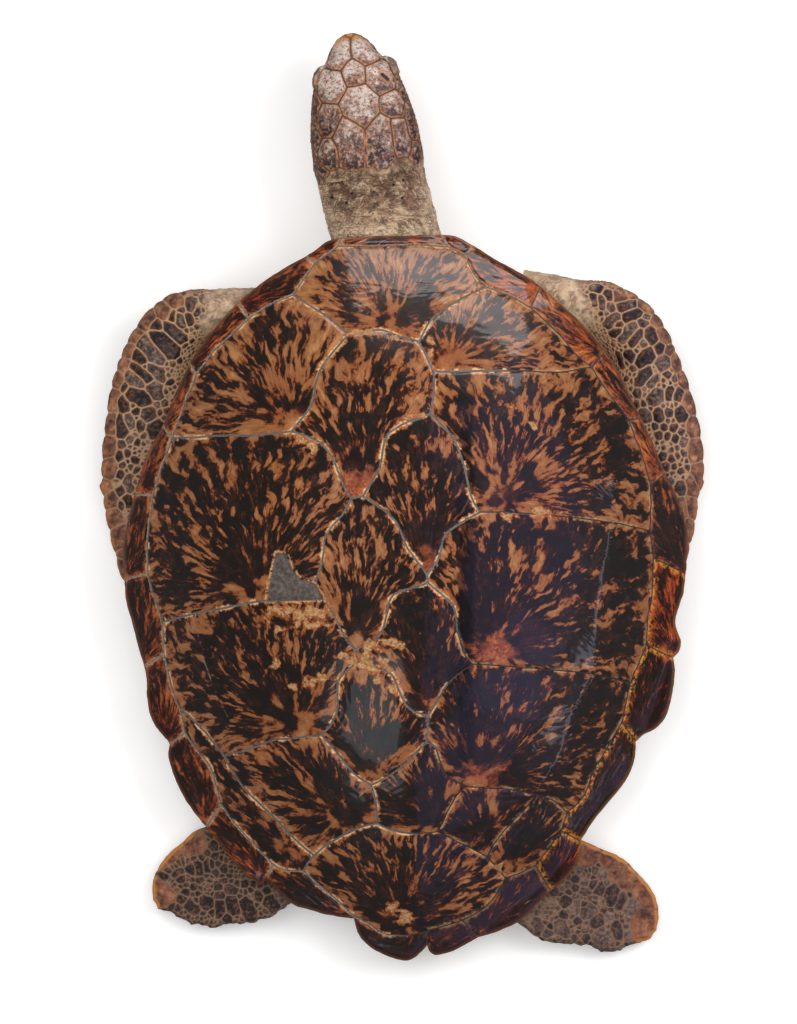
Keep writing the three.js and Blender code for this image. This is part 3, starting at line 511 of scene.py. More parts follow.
marginalScutes = [
    ("L0 R0 OR0 OL0", 392, 236, 0.02, 0.8), ("L0 L1 OL1 OL0", 306, 258, 0.0, 0.9),
    ("L1 L2 L3 OL3 OL1", 240, 306, 0.0, 0.9), ("L3 L4 OL4 OL3", 188, 366, 0.0, 0.9),
    ("L4 L5 OL5 OL4", 162, 430, 0.0, 0.9), ("L5 L6 OL6 OL5", 136, 496, 0.02, 0.9),
    ("L6 L7 OL7 OL6", 124, 582, 0.02, 0.8), ("L7 L8 L9 OL9 OL7", 142, 664, -0.02, 0.6),
    ("L9 L10 L11 OL11 OL9", 166, 742, -0.02, 0.6), ("L11 L12 OL12 OL11", 206, 824, -0.03, 0.6),
    ("L12 L13 OL13 OL12", 264, 878, -0.04, 0.6), ("L13 L14 L15 OL15 OL13", 350, 914, -0.06, 0.5),
    ("L15 TAIL OTAIL OL15", 405, 958, -0.12, 0.4), ("R0 R1 OR1 OR0", 474, 250, 0.03, 0.7),
    ("R1 R2 R3 OR3 OR1", 538, 290, 0.05, 0.6), ("R3 R4 OR4 OR3", 602, 352, 0.05, 0.6),
    ("R4 R5 OR5 OR4", 640, 418, 0.05, 0.8), ("R5 R6 OR6 OR5", 664, 474, 0.05, 0.7),
    ("R6 R7 R8 OR8 OR6", 685, 570, -0.03, 0.3), ("R8 R9 OR9 OR8", 676, 652, 0.02, -0.6),
    ("R9 R10 R11 OR11 OR9", 640, 738, -0.08, -0.6), ("R11 R12 R13 OR13 OR11", 584, 836, -0.13, -0.6),
    ("R13 R14 OR14 OR13", 553, 888, -0.05, -0.4), ("R14 R15 R16 OR16 OR14", 482, 932, -0.11, 0.4),
    ("R16 TAIL OTAIL OR16", 432, 950, -0.12, 0.4),
]
edgeRing = "OL0 OR0 OR1 OR3 OR4 OR5 OR6 OR8 OR9 OR11 OR13 OR14 OR16 OTAIL "
edgeRing += "OL15 OL13 OL12 OL11 OL9 OL7 OL6 OL5 OL4 OL3 OL1"

carapaceLook = {
    "seamStep": 2.0, "wander": 0.4, "grooveDepth": 0.9, "grooveWidth": 1.4, "lip": 0.3, "crown": 2.2,
    "unevenness": 0.9, "keel": 3.0, "ridge": 3.4, "patchDepth": 1.6, "innerRings": 21, "marginalRings": 15,
}
# creases along which the shell bends down to its margin, and the worn places
ridgeLines = [
    [(616, 480), (612, 520), (607, 556), (598, 638), (594, 671), (579, 700), (566, 744), (536, 790)],
    [(190, 540), (191, 575), (196, 618), (207, 666), (226, 709), (243, 750), (262, 790), (290, 828)],
]
boneWindow = [
    (268, 601), (270, 586), (274, 568), (277, 553), (283, 551), (290, 556), (292, 565), (299, 576),
    (317, 583), (325, 599),
]
wornPlaces = [  # x0, y0, x1, y1 and how far the flaking reaches
    (300, 441, 318, 448, 5), (270, 670, 280, 661, 5), (294, 685, 334, 675, 5), (344, 655, 372, 663, 6),
    (268, 612, 326, 611, 6), (281, 627, 334, 622, 4), (366, 645, 398, 641, 5), (380, 678, 394, 688, 4),
    (500, 515, 520, 519, 3), (536, 512, 560, 512, 4), (502, 408, 516, 411, 4), (524, 420, 534, 428, 2),
    (395, 908, 408, 918, 7), (348, 336, 372, 332, 3), (366, 655, 384, 662, 4), (392, 338, 412, 345, 3),
    (283, 300, 292, 303, 3), (428, 340, 434, 368, 3), (400, 422, 424, 416, 3),
]


# Height of the smooth dome: reach is 0 at the summit and 1 at the rim of an egg-shaped plan, and the
# height is rim + (top - rim) * (1 - reach^fullness)^flare, blended from the sides to the two ends.
def domeHeight(x, y):
    frontPart = y < dome["y"]
    ends = zip(dome["front"], dome["rear"])
    length, rounded, endFullness, endFlare = [np.where(frontPart, *pair) for pair in ends]
    across = (np.abs(x - dome["x"]) / dome["halfWidth"]) ** rounded
    along = (np.abs(y - dome["y"]) / length) ** rounded
    reach = np.minimum((across + along) ** (1 / rounded), 1)
    turn = along / (across + along + 1e-9)
    sideFullness, sideFlare = dome["side"]
    fullness = sideFullness + turn * (endFullness - sideFullness)
    flare = sideFlare + turn * (endFlare - sideFlare)
    rim = smoothCurve(dome["rimHeights"], y)
    return rim + (dome["top"] - rim) * (1 - reach ** fullness) ** flare


# a smooth line through listed points, at even steps; each piece bends by the square root of its length
def evenLine(listed, step):
    points = np.asarray(listed, float)
    if len(points) > 2:
        padded = np.concatenate([[2 * points[0] - points[1]], points, [2 * points[-1] - points[-2]]])
        gaps = np.maximum(np.linalg.norm(np.diff(padded, axis=0), axis=1), 1e-4) ** 0.5
        u = np.linspace(0, 1, 24, endpoint=False)[:, None]
        curve = []
        for k in range(len(points) - 1):
            p0, p1, p2, p3 = padded[k:k + 4]
            d0, d1, d2 = gaps[k:k + 3]
            start = ((p1 - p0) / d0 - (p2 - p0) / (d0 + d1) + (p2 - p1) / d1) * d1
            stop = ((p2 - p1) / d1 - (p3 - p1) / (d1 + d2) + (p3 - p2) / d2) * d1
            curve.append(
                p1 * (1 + 2 * u) * (1 - u) ** 2 + p2 * u * u * (3 - 2 * u)
                + start * u * (1 - u) ** 2 - stop * u * u * (1 - u)
            )
        points = np.concatenate(curve + [points[-1:]])
    walked = np.concatenate([[0], np.cumsum(np.linalg.norm(np.diff(points, axis=0), axis=1))])
    pieces = max(1, round(walked[-1] / step))
    t = np.linspace(0, walked[-1], pieces + 1)
    return np.stack([np.interp(t, walked, points[:, 0]), np.interp(t, walked, points[:, 1])], axis=1)


# the points of a seam from junction a up to, but without, junction b, the same ones from either side
def seamPoints(a, b):
    turned = b + "-" + a in seams or (a + "-" + b not in seams and b < a)
    first, last = (b, a) if turned else (a, b)
    between = np.reshape(seams.get(first + "-" + last, ()), (-1, 2))
    line = evenLine([junctions[first], *between, junctions[last]], carapaceLook["seamStep"])
    line = (line[::-1] if turned else line)[:-1]
    sideways = [roughNoise(*line.T / 9, seed) for seed in (1, 2)]
    return line + carapaceLook["wander"] * np.stack(sideways, axis=1)


# the border of a scute, and for each of its points whether the next stretch is the shell's outer edge
def borderOf(ring):
    names = ring.split(" ")
    lines = [seamPoints(a, b) for a, b in zip(names, names[1:] + names[:1])]
    onEdge = [name[0] == "O" and len(name) > 1 for name in names]
    outer = [np.full(len(line), a and b) for line, a, b in zip(lines, onEdge, onEdge[1:] + onEdge[:1])]
    return np.concatenate(lines), np.concatenate(outer)


# The middle of area of a closed line and the way the line turns. The middle is moved, where it can be, until
# every part of the border faces it.
def middleOf(line):
    after = np.roll(line, -1, axis=0)
    cross = line[:, 0] * after[:, 1] - after[:, 0] * line[:, 1]
    middle = ((line + after) * cross[:, None]).sum(axis=0) / (3 * cross.sum())
    turn = np.sign(cross.sum())
    run = (after - line) / (np.linalg.norm(after - line, axis=1)[:, None] + 1e-9)
    inward = turn * np.stack([-run[:, 1], run[:, 0]], axis=1)
    for step in range(80):
        depth = ((middle - line) * inward).sum(axis=1)
        if depth.min() > 1.5:
            break
        middle = middle + 0.4 * inward[depth.argmin()]
    return middle, turn


# signed distance to a closed line, positive inside, by counting crossings
def insideDistance(x, y, line):
    line = np.asarray(line, float)
    after = np.roll(line, -1, axis=0)
    crossings = np.zeros(x.shape, int)
    for (x0, y0), (x1, y1) in zip(line, after):
        spans = (y0 > y) != (y1 > y)
        crossings += spans & (x < (x1 - x0) * (y - y0) / (y1 - y0 + 1e-9) + x0)
    away = segmentDistance(x, y, np.concatenate([line, after], axis=1))
    return np.where(crossings % 2 == 1, away, -away)


# Height of the shell's surface: the dome, a low keel and side creases, a groove with a raised lip at each
# seam, a gentle crown on each scute, the sunken window where a scute is lost, and the rounded outer edge.
def shellHeight(x, y, seam, edge):
    look = carapaceLook
    middle = 392 + 0.042 * (y - 237)
    relief = look["keel"] * bell(x - middle, 24) * easeStep(300, 420, y) * (1 - easeStep(850, 940, y))
    for line in ridgeLines:
        away = segmentDistance(x, y, segmentsOf(evenLine(line, 6)))
        relief = relief + look["ridge"] * np.exp(-np.hypot(away, 2.5) / 13)
    relief = relief - look["grooveDepth"] * bell(seam, look["grooveWidth"])
    relief = relief + look["lip"] * bell(seam - 3.4, 1.7) + look["crown"] * (1 - np.exp(-seam / 15))
    growth = np.sin(seam * 1.05 + 1.5 * softNoise(x / 14, y / 14, 5)) * np.exp(-seam / 26)
    uneven = look["unevenness"] * roughNoise(x / 60, y / 60, 11, 2) + 0.12 * roughNoise(x / 9, y / 9, 12, 2)
    sunk = look["patchDepth"] * easeStep(-0.6, 1.0, insideDistance(x, y, boneWindow))
    relief = relief + 0.16 * growth + uneven - sunk
    turned = 1 - np.clip(edge / 7, 0, 1)
    rounded = -dome["rimHalf"] * (1 - np.sqrt(1 - turned ** 2))
    return domeHeight(x, y) + easeStep(0, 5, edge) * relief + rounded


# the way from points to the nearest of the two creases of the shell
def creaseDistance(x, y):
    return np.min([segmentDistance(x, y, segmentsOf(evenLine(line, 6))) for line in ridgeLines], axis=0)


# One patch for each scute: its border drawn in to its middle in rings that lie close together near the
# border, at share = 1 - (1 - inset / reach)^(reach / length), so that the groove and its lip stay sharp.
# The patches are then joined along their seams.
def makeScutes(name, scutes, rings):
    pointSets = []
    faceSets = []
    lookSets = []
    start = 0
    for number, (ring, growX, growY, amber, red) in enumerate(scutes):
        border, outer = borderOf(ring)
        middle, turn = middleOf(border)
        length = np.linalg.norm(border - middle, axis=1)
        reach = 1.04 * length.max()
        insets = reach * 0.95 * np.linspace(0, 1, rings) ** 1.75
        share = 1 - (1 - insets[:, None] / reach) ** (reach / length[None, :])
        grid = border[None] + (middle - border)[None] * share[..., None]
        places = np.concatenate([grid.reshape(-1, 2), middle[None]])
        x, y = places.T
        segments = np.concatenate([border, np.roll(border, -1, axis=0)], axis=1)
        seam = segmentDistance(x, y, segments[~outer])
        edge = segmentDistance(x, y, segments[outer])
        worn = 0.0 * seam
        for x0, y0, x1, y1, radius in wornPlaces:
            away = segmentDistance(x, y, np.array([[x0, y0, x1, y1]]))
            worn = np.maximum(worn, 1 - away / (1.8 * radius))
        crease = np.minimum(creaseDistance(x, y), 60)
        window = insideDistance(x, y, boneWindow)
        height = shellHeight(x, y, seam, edge)
        pointSets.append(np.column_stack([places, height, seam, edge, window, worn, crease]))
        quads = ringQuads(rings, len(border), start)
        fans = fanTriangles(rings - 1, len(border), start + rings * len(border), True, start)
        if turn > 0:  # the sheet's y runs down, so these would face down
            quads, fans = quads[:, ::-1], fans[:, ::-1]
        faceSets.append(np.concatenate([quads[:, :3], quads[:, [0, 2, 3]], fans]))
        look = [sheet["x"] - growX, growY - sheet["y"], 0, number * 3.7, amber, red]
        lookSets.append(np.tile(look, (len(faceSets[-1]), 1)))
        start += len(places)
    points = np.concatenate(pointSets)
    looks = np.concatenate(lookSets)
    # points that share a place to a thousandth of a millimetre become one
    keys = np.round(points[:, :2] * 1000).astype(np.int64) @ [10_000_000, 1]
    firstOf, newNumber = np.unique(keys, return_index=True, return_inverse=True)[1:]
    points = points[firstOf]
    faces = newNumber[np.concatenate(faceSets)]
    sound = (faces != np.roll(faces, 1, axis=1)).all(axis=1)  # without those that joining closed
    piece = makeMesh(name, onFrame(*points[:, :3].T), (), faces[sound])
    keys = ("seamDistance", "edgeDistance", "boneWindow", "worn", "creaseDistance")
    for key, column in zip(keys, points[:, 3:].T):
        giveValues(piece, key, column)
    giveValues(piece, "growthPoint", looks[sound, :3], "FACE")
    giveValues(piece, "scuteLook", looks[sound, 3:], "FACE")
    return piece


# the underside: the outer edge turned under, a shallow hollow behind it, then the ceiling over the body
def makeUnderside():
    border = borderOf(edgeRing)[0]
    away = np.linalg.norm(border - [dome["x"], dome["y"]], axis=1)
    insets = np.array([0, 0.5, 1.5, 3, 5, 9, 15, 22, 30, 38, 46, 54, 62, 90, 140])
    fall = -4 - 4 * np.sqrt(np.clip(1 - (1 - np.minimum(insets / 5, 1)) ** 2, 0, 1))
    share = 1 - insets[:, None] / away[None]
    x = dome["x"] + (border[:, 0] - dome["x"]) * share
    y = dome["y"] + (border[:, 1] - dome["y"]) * share
    rim = domeHeight(border[:, 0], border[:, 1])[None]
    hollow = rim + fall[:, None] + 5 * easeStep(5, 38, insets)[:, None]
    ceiling = easeStep(36, 62, insets)[:, None]
    height = hollow * (1 - ceiling) + dome["ceiling"] * ceiling
    height = height + 0.6 * roughNoise(x / 12, y / 12, 21) * easeStep(4, 20, insets)[:, None]
    places = onFrame(x, y, height)
    rows, columns = x.shape
    summit = onFrame(np.array([dome["x"]]), dome["y"], dome["ceiling"])
    points = np.concatenate([places.reshape(-1, 3), summit])
    quads = ringQuads(rows, columns)
    fans = fanTriangles(rows - 1, columns, rows * columns, True)
    piece = makeMesh("carapace_underside", points, quads, fans)
    giveValues(piece, "edgeDistance", np.concatenate([np.repeat(insets, columns), [200.0]]))
    return piece


# ---- horn materials ----

# tones that both kinds of varnished horn share
hornTones = {
    "brown": (78, 40, 22), "warm": (240, 120, 60), "golden": (255, 196, 84), "goldMark": (206, 132, 36),
    # the darkest seam tone is painted shade, for the seams of the shell's right half
    # the tone of the dark band beside the keel is painted shade
    "goldPale": (214, 154, 60), "goldEdge": (150, 96, 30), "run": (96, 70, 44), "shadedRightSeam": (40, 31, 30),
    # the crease tone is partly the cracks along the creases and partly a painted highlight
    "lostEdge": (204, 150, 100), "burnt": (150, 76, 32), "crease": (122, 112, 110),
    "bone": [(0.35, 64, 57, 53), (0.5, 87, 78, 73), (0.65, 114, 103, 94)],
    "worn": [(0.35, 150, 100, 56), (0.5, 178, 138, 92), (0.66, 194, 162, 118)],
}


# Tortoiseshell. Streaks fan out from each scute's growth point: noise is read at (direction * k, way / l),
# a coarse one near the point and a finer one near the border, and a ramp turns it to black, brown and amber.
def makeTortoiseshell(name, look):
    tones = hornTones
    material, shader = newMaterial(name, {"Coat Roughness": 0.06, "Specular IOR Level": 0.35})
    places = placesInMillimetres()
    x, y, z = axesOf(places)
    # painted shade: a mask over the right half of the shell, where the seams are painted darker
    shadedRightHalf = ranged(onto(y, -0.2, x), -50.0, -85.0)
    number, amber, red = axesOf(readValue("scuteLook", "Vector"))
    flat = vectorSums("SUBTRACT", places, readValue("growthPoint", "Vector"))
    flat = vectorSums("MULTIPLY", flat, (1, 1, 0))
    way = vectorSums("LENGTH", flat)
    sway = put("ShaderNodeTexNoise", {"Vector": places, "Scale": 0.035, "Detail": 2.0}).outputs[1]
    sway = vectorSums("SUBTRACT", sway, (0.5, 0.5, 0.5))
    sway = vectorSums("MULTIPLY", sway, (look["sway"], look["sway"], 0))
    direction = vectorSums("ADD", vectorSums("NORMALIZE", flat), sway)
    layers = []
    for spread, length, detail in (look["coarse"], look["fine"], look["hairs"]):
        wide = vectorSums("MULTIPLY", direction, (spread, spread, 0))
        spot = vectorSums("ADD", wide, joined(0.0, 0.0, sums("DIVIDE", way, length)))
        layers.append(noiseOf(spot, 1.0, detail, 0.5, number))
    coarse, fine, hairs = layers
    # noises in millimetres, from the widest clouds to the finest specks
    clouds = noiseOf(places, 0.028, 2.0, 0.5, number)
    smears = noiseOf(places, 0.04, 4.0, 0.6)
    warmth = noiseOf(places, 0.05, 3.0, 0.6, number)
    blots = noiseOf(places, look["blots"], 3.0, 0.5, number)
    patches = noiseOf(places, 0.07, 3.0, 0.6)
    flecks = noiseOf(places, 0.25, 4.0, 0.65)
    specks = noiseOf(places, 0.32, 4.0, 0.7)
    wobble = noiseOf(places, 0.45, 3.0, 0.6)
    streaks = mixed(ranged(way, *look["blotReach"]), blots, coarse)
    streaks = mixed(ranged(way, *look["coarseReach"]), streaks, fine)
    seam = readValue("seamDistance")
    beside = times(ranged(seam, 9.0, 1.5), ranged(patches, 0.4, 0.56))
    value = onto(beside, look["besideSeam"], sums("ADD", streaks, amber))
    value = onto(ranged(seam, 26.0, 4.0), look["nearBorder"], value)
    for layer, share in ((clouds, look["clouds"]), (specks, look["specks"]), (hairs, look["fringe"])):
        value = around(layer, share, value)
    horn = colourRamp(value, look["ramp"])
    brownish = times(ranged(patches, 0.45, 0.68), ranged(hairs, 0.4, 0.6), 0.75)
    horn = blendColours(brownish, horn, tones["brown"], "LIGHTEN")
    horn = blendColours(0.5, horn, colourRamp(hairs, look["hairRamp"]), "OVERLAY")
    redness = sums("MULTIPLY", ranged(warmth, 0.42, 0.6), red, clamp=True)
    redness = times(redness, ranged(way, 10.0, 62.0, 1.0, 0.2), 0.6)
    horn = blendColours(redness, horn, blendColours(1.0, horn, tones["warm"], "MULTIPLY"))
    # golden, clearer horn in the scutes whose red is below 0
    gold = ranged(red, 0.0, -0.5)
    horn = blendColours(times(gold, 0.8), horn, blendColours(1.0, horn, tones["golden"], "MULTIPLY"))
    goldMark = times(ranged(around(hairs, -14.0, seam), 6.5, 1.5), ranged(flecks, 0.46, 0.56), gold, 0.85)
    horn = blendColours(goldMark, horn, tones["goldMark"])
    # painted shade: a dark band down the right side of the keel, where the varnish mirrors no light
    run = ranged(sums("ABSOLUTE", around(patches, 22.0, sums("ADD", x, 60.0))), 9.0, 5.5)
    run = times(run, ranged(sums("ABSOLUTE", sums("SUBTRACT", y, 20.0)), 200.0, 170.0), 0.85)
    horn = blendColours(run, horn, blendColours(1.0, horn, tones["run"], "MULTIPLY"))
    # the youngest horn, round the growth point, is clear orange
    young = around(warmth, 80.0, around(specks, 26.0, way))
    young = times(ranged(young, look["youngReach"], 8.0), ranged(red, 0.3, 0.75), 0.85)
    horn = blendColours(young, horn, colourRamp(specks, look["youngRamp"]))
    # the seam: an even grey line with broken cream and orange edges; on the right half it is narrower, with
    # fewer pale edges, and its grey is painted dark as painted shade
    seamWay = onto(shadedRightHalf, 0.45, around(wobble, -0.8, seam))
    paleWay = around(flecks, -9.0, seam)
    paleBand = times(ranged(paleWay, 4.0, 2.2), ranged(warmth, 0.5, 0.57))
    paleBand = times(paleBand, onto(shadedRightHalf, -0.6, 1.0))
    paleTone = blendColours(ranged(paleWay, 2.6, 1.2), look["orangeTone"], look["paleTone"])
    paleTone = blendColours(gold, paleTone, tones["goldPale"])
    horn = blendColours(times(paleBand, look["paleEdge"]), horn, paleTone)
    greyBand = ranged(seamWay, 1.4, 0.75)
    greyTone = blendColours(ranged(wobble, 0.35, 0.65), *look["seamTones"])
    horn = blendColours(greyBand, horn, blendColours(times(shadedRightHalf, 0.9), greyTone, tones["shadedRightSeam"]))
    # the bare bone window and the flaked places
    window = around(flecks, 7.0, readValue("boneWindow"))
    lostEdge = times(ranged(window, -2.8, -0.8), ranged(flecks, 0.42, 0.54), 0.9)
    horn = blendColours(lostEdge, horn, tones["lostEdge"])
    bare = ranged(window, -0.2, 0.6)
    horn = blendColours(bare, horn, colourRamp(noiseOf(places, 0.25, 4.0, 0.7), tones["bone"]))
    wear = readValue("worn")
    reached = ranged(wear, 0.0, 0.2)
    flaking = onto(flecks, 0.3, noiseOf(places, 0.09, 2.0, 0.5))
    flaking = onto(ranged(wear, 0.0, 1.0), 0.22, flaking)
    flaked = times(ranged(flaking, 0.82, 0.86), reached, ranged(specks, 0.36, 0.5))
    horn = blendColours(times(ranged(flaking, 0.74, 0.82), reached, 0.8), horn, tones["burnt"])
    wornTone = colourRamp(noiseOf(places, 0.3, 4.0, 0.65), tones["worn"])
    horn = blendColours(times(flaked, 0.9), horn, wornTone)
    # a thin grey line along the two creases: partly the thin cracks there, partly a painted highlight on
    # their crests
    creaseCrackAndHighlight = ranged(around(flecks, 3.0, readValue("creaseDistance")), 1.0, 0.3)
    horn = blendColours(times(creaseCrackAndHighlight, ranged(patches, 0.42, 0.5), 0.8), horn, tones["crease"])
    # the thin outer edge lets light through, so it is a warmer brown
    thin = times(ranged(readValue("edgeDistance"), 4.0, 0.5), look["edgeGlow"])
    horn = blendColours(thin, horn, blendColours(gold, look["edgeTone"], tones["goldEdge"]))
    dull = sums("MAXIMUM", bare, sums("MAXIMUM", greyBand, flaked))
    rough = onto(ranged(smears, 0.35, 0.7), 0.16, look["roughness"])
    coated = times(sums("SUBTRACT", 1.0, dull), onto(gold, -0.6, 1.0), look["coat"])
    grain = onto(streaks, 0.35, times(specks, 0.25))
    grain = onto(flaked, 0.5, grain)
    feed(shader, {
        "Base Color": horn, "Roughness": onto(dull, 0.3, rough), "Coat Weight": coated,
        "Normal": bumpOf(grain, look["bump"], 0.0012),
    })
    return material


innerHornLook = {
    "roughness": 0.28, "coat": 0.55, "bump": 0.2, "sway": 0.18, "youngReach": 20.0,
    "coarse": (4.0, 24.0, 5.0), "fine": (17.0, 17.0, 4.0), "hairs": (70.0, 34.0, 3.0), "blots": 0.055,
    "blotReach": (9.0, 30.0), "coarseReach": (26.0, 70.0), "clouds": 0.36, "specks": 0.18, "fringe": 0.12,
    "besideSeam": 0.06, "nearBorder": 0.03,
    "ramp": [
        (0.0, 25, 21, 19), (0.5, 30, 22, 18), (0.54, 66, 32, 17), (0.565, 126, 64, 30),
        (0.59, 162, 100, 56), (0.66, 172, 114, 68), (0.78, 196, 144, 90),
    ],
    "hairRamp": [(0.35, 96, 92, 90), (0.5, 126, 122, 120), (0.65, 168, 148, 132)],
    "youngRamp": [(0.35, 116, 48, 26), (0.5, 154, 72, 38), (0.65, 190, 108, 62)],
    "orangeTone": (188, 112, 56), "paleEdge": 0.9, "paleTone": (232, 192, 142),
    "seamTones": [(86, 79, 75), (116, 108, 102)], "edgeGlow": 0.0, "edgeTone": (120, 70, 40),
}
marginalHornLook = {
    "roughness": 0.24, "coat": 0.6, "bump": 0.3, "sway": 0.2, "youngReach": 8.0,
    "coarse": (7.0, 15.0, 5.0), "fine": (20.0, 15.0, 5.0), "hairs": (70.0, 30.0, 3.0), "blots": 0.09,
    "blotReach": (6.0, 16.0), "coarseReach": (14.0, 36.0), "clouds": 0.5, "specks": 0.3, "fringe": 0.14,
    "besideSeam": 0.1, "nearBorder": 0.0,
    "ramp": [
        (0.0, 27, 18, 17), (0.47, 36, 22, 18), (0.53, 70, 32, 18), (0.58, 124, 58, 26),
        (0.65, 168, 88, 38), (0.78, 200, 124, 60),
    ],
    "hairRamp": [(0.35, 88, 84, 82), (0.5, 126, 120, 116), (0.65, 176, 142, 120)],
    "youngRamp": [(0.35, 120, 52, 24), (0.5, 150, 72, 36), (0.65, 176, 100, 54)],
    "orangeTone": (160, 92, 48), "paleEdge": 0.6, "paleTone": (206, 160, 114),
    "seamTones": [(100, 86, 76), (156, 138, 122)], "edgeGlow": 0.5, "edgeTone": (132, 66, 32),
}

# horn seen from below: pale, dusty, with brown blotches and a darker rim
def makeUnderHorn():
    material, shader = newMaterial("underside horn", {
        "Roughness": 0.5, "Coat Weight": 0.1, "Coat Roughness": 0.3, "Specular IOR Level": 0.5,
    })
    places = placesInMillimetres()
    ramp = [(0.3, 92, 58, 34), (0.45, 142, 100, 60), (0.6, 178, 140, 92), (0.75, 196, 164, 118)]
    base = colourRamp(noiseOf(places, 0.03, 5.0, 0.6, distortion=0.4), ramp)
    rim = times(ranged(readValue("edgeDistance"), 22.0, 3.0), 0.8)
    bump = bumpOf(noiseOf(places, 0.2, 5.0, 0.6), 0.4, 0.001)
    feed(shader, {"Base Color": blendColours(rim, base, (78, 44, 28)), "Normal": bump})
    return material


for name, scutes, rings, horn, look in (
    ("carapace_scutes", innerScutes, "innerRings", "varnished tortoiseshell", innerHornLook),
    ("carapace_margin", marginalScutes, "marginalRings", "varnished margin horn", marginalHornLook),
):
    piece = makeScutes(name, scutes, carapaceLook[rings])
    stand(piece, makeTortoiseshell(horn, look), "shell_horn", "carapace")
stand(makeUnderside(), makeUnderHorn(), "shell_horn", "carapace")


# ---- scaly and wrinkled surfaces ----

# Wrinkles drawn by a material: noise is read on places stretched along each direction, mirrored in x, and a
# line runs where it crosses its middle; the lines of all directions are laid over each other.
def wrinkleLines(places, directions, fineness, stretch, width, seed):
    x, y, z = axesOf(places)
    spot = joined(sums("ABSOLUTE", x), y, z)
    lines = 0.0
    for number, degrees in enumerate(directions):
        c = math.cos(math.radians(degrees)) / fineness
        s = math.sin(math.radians(degrees)) / fineness
        along = vectorSums("DOT_PRODUCT", spot, (c / stretch, s / stretch, 0))
        across = vectorSums("DOT_PRODUCT", spot, (-s, c, 1 / fineness))
        noise = noiseOf(joined(along, across, 0.0), 1.0, 0.6, 0.5, seed + number)
        here = ranged(sums("ABSOLUTE", sums("SUBTRACT", noise, 0.5)), width, 0.0)
        there = ranged(noiseOf(places, 0.09, 1.0, 0.5, seed + 10 + number), 0.42, 0.56)
        lines = sums("MAXIMUM", lines, times(here, there))
    return lines


# A scaly or wrinkled surface. Scale borders are pale lines, scales are dark or brown with a warm rim, and
# hide is tan with darker creases; the point values say how much of each there is.
def makeScaly(name, look):
    material, shader = newMaterial(name, {"Coat Roughness": 0.2, "Specular IOR Level": 0.5})
    places = placesInMillimetres()
    brown = readValue("brown")
    hide = readValue("hide")
    mottle = noiseOf(places, look["mottleScale"], 5.0, 0.62)
    cloud = noiseOf(places, 0.1, 3.0, 0.6)
    grit = noiseOf(places, 0.9, 4.0, 0.7)
    depth = times(mottle, 1 - look["toneShare"])
    depth = onto(readValue("scaleTone"), look["toneShare"], depth)
    scales = colourRamp(around(cloud, look["cloudShare"], depth), look["scaleRamp"])
    for scale, seed, tone, share in look["flecks"]:
        fleck = ranged(noiseOf(places, scale, 3.0, 0.6, seed), 0.53, 0.6)
        scales = blendColours(times(fleck, share), scales, tone)
    browns = colourRamp(around(mottle, 0.5, cloud), look["brownRamp"])
    scales = blendColours(brown, scales, browns)
    # the outer tone: a warm edge on the flippers and claws, and on the head the painted shade inside the
    # hole in the shield
    scales = blendColours(readValue("outer"), scales, look["outerTone"])
    border = sums("ADD", readValue("scaleEdge"), times(sums("SUBTRACT", grit, 0.5), 0.8))
    rim = times(ranged(around(mottle, look["rimWander"], border), look["rimWidth"], 0.4), look["rimShare"])
    scales = blendColours(rim, scales, colourRamp(cloud, look["rimRamp"]))
    lines = blendColours(times(brown, 0.35), colourRamp(grit, look["lineRamp"]), browns)
    scales = blendColours(ranged(border, look["lineWidth"], look["lineCore"]), scales, lines)
    skin = colourRamp(around(grit, 0.5, cloud), look["hideRamp"])
    wrinkled = wrinkleLines(places, look["hideDirections"], look["hideFineness"], 4.0, 0.07, 3.0)
    wrinkled = sums("MAXIMUM", wrinkled, readValue("crease"))
    skin = blendColours(times(wrinkled, look["creaseShare"]), skin, look["creaseTone"])
    fine = onto(grit, 0.4, times(mottle, 0.6))
    feed(shader, {
        "Base Color": blendColours(hide, scales, skin),
        "Roughness": onto(hide, 0.35, look["roughness"]),
        "Coat Weight": times(sums("SUBTRACT", 1.0, hide), look["coat"]),
        "Normal": bumpOf(sums("SUBTRACT", fine, times(wrinkled, hide)), look["bump"], 0.001),
    })
    return material


# pushes the points of a ring grid outwards along its normals by heights in mm
def relieved(points, height):
    normal = np.cross(np.gradient(points, axis=0), np.roll(points, -1, axis=1) - np.roll(points, 1, axis=1))
    normal /= np.linalg.norm(normal, axis=-1, keepdims=True) + 1e-12
    if np.sum(normal * (points - points.mean(axis=1, keepdims=True))) < 0:
        normal = -normal
    return points + normal * height[..., None] * sheet["millimetre"]


# Criss-cross wrinkles: the deepest of several sets of creases that run in different directions. A crease is
# 1 along the lines where rough noise changes sign and falls to 0 away from them.
def wrinkles(x, y, seed, directions, fineness, stretch=5.0):
    deepest = 0.0 * x
    for number, degrees in enumerate(directions):
        c = math.cos(math.radians(degrees))
        s = math.sin(math.radians(degrees))
        along = (c * x + s * y) / fineness
        across = (c * y - s * x) / fineness
        swing = 0.6 * softNoise(along / 6, across / 6, seed + number)
        here = np.exp(-np.abs(roughNoise(along / stretch + swing, across, seed + 20 + number, 2)) / 0.13)
        share = easeStep(-0.5, 0.4, softNoise(x / (9 * fineness), y / (9 * fineness), seed + 40 + number))
        deepest = np.maximum(deepest, here * share)
    return deepest


# ---- fore flippers ----

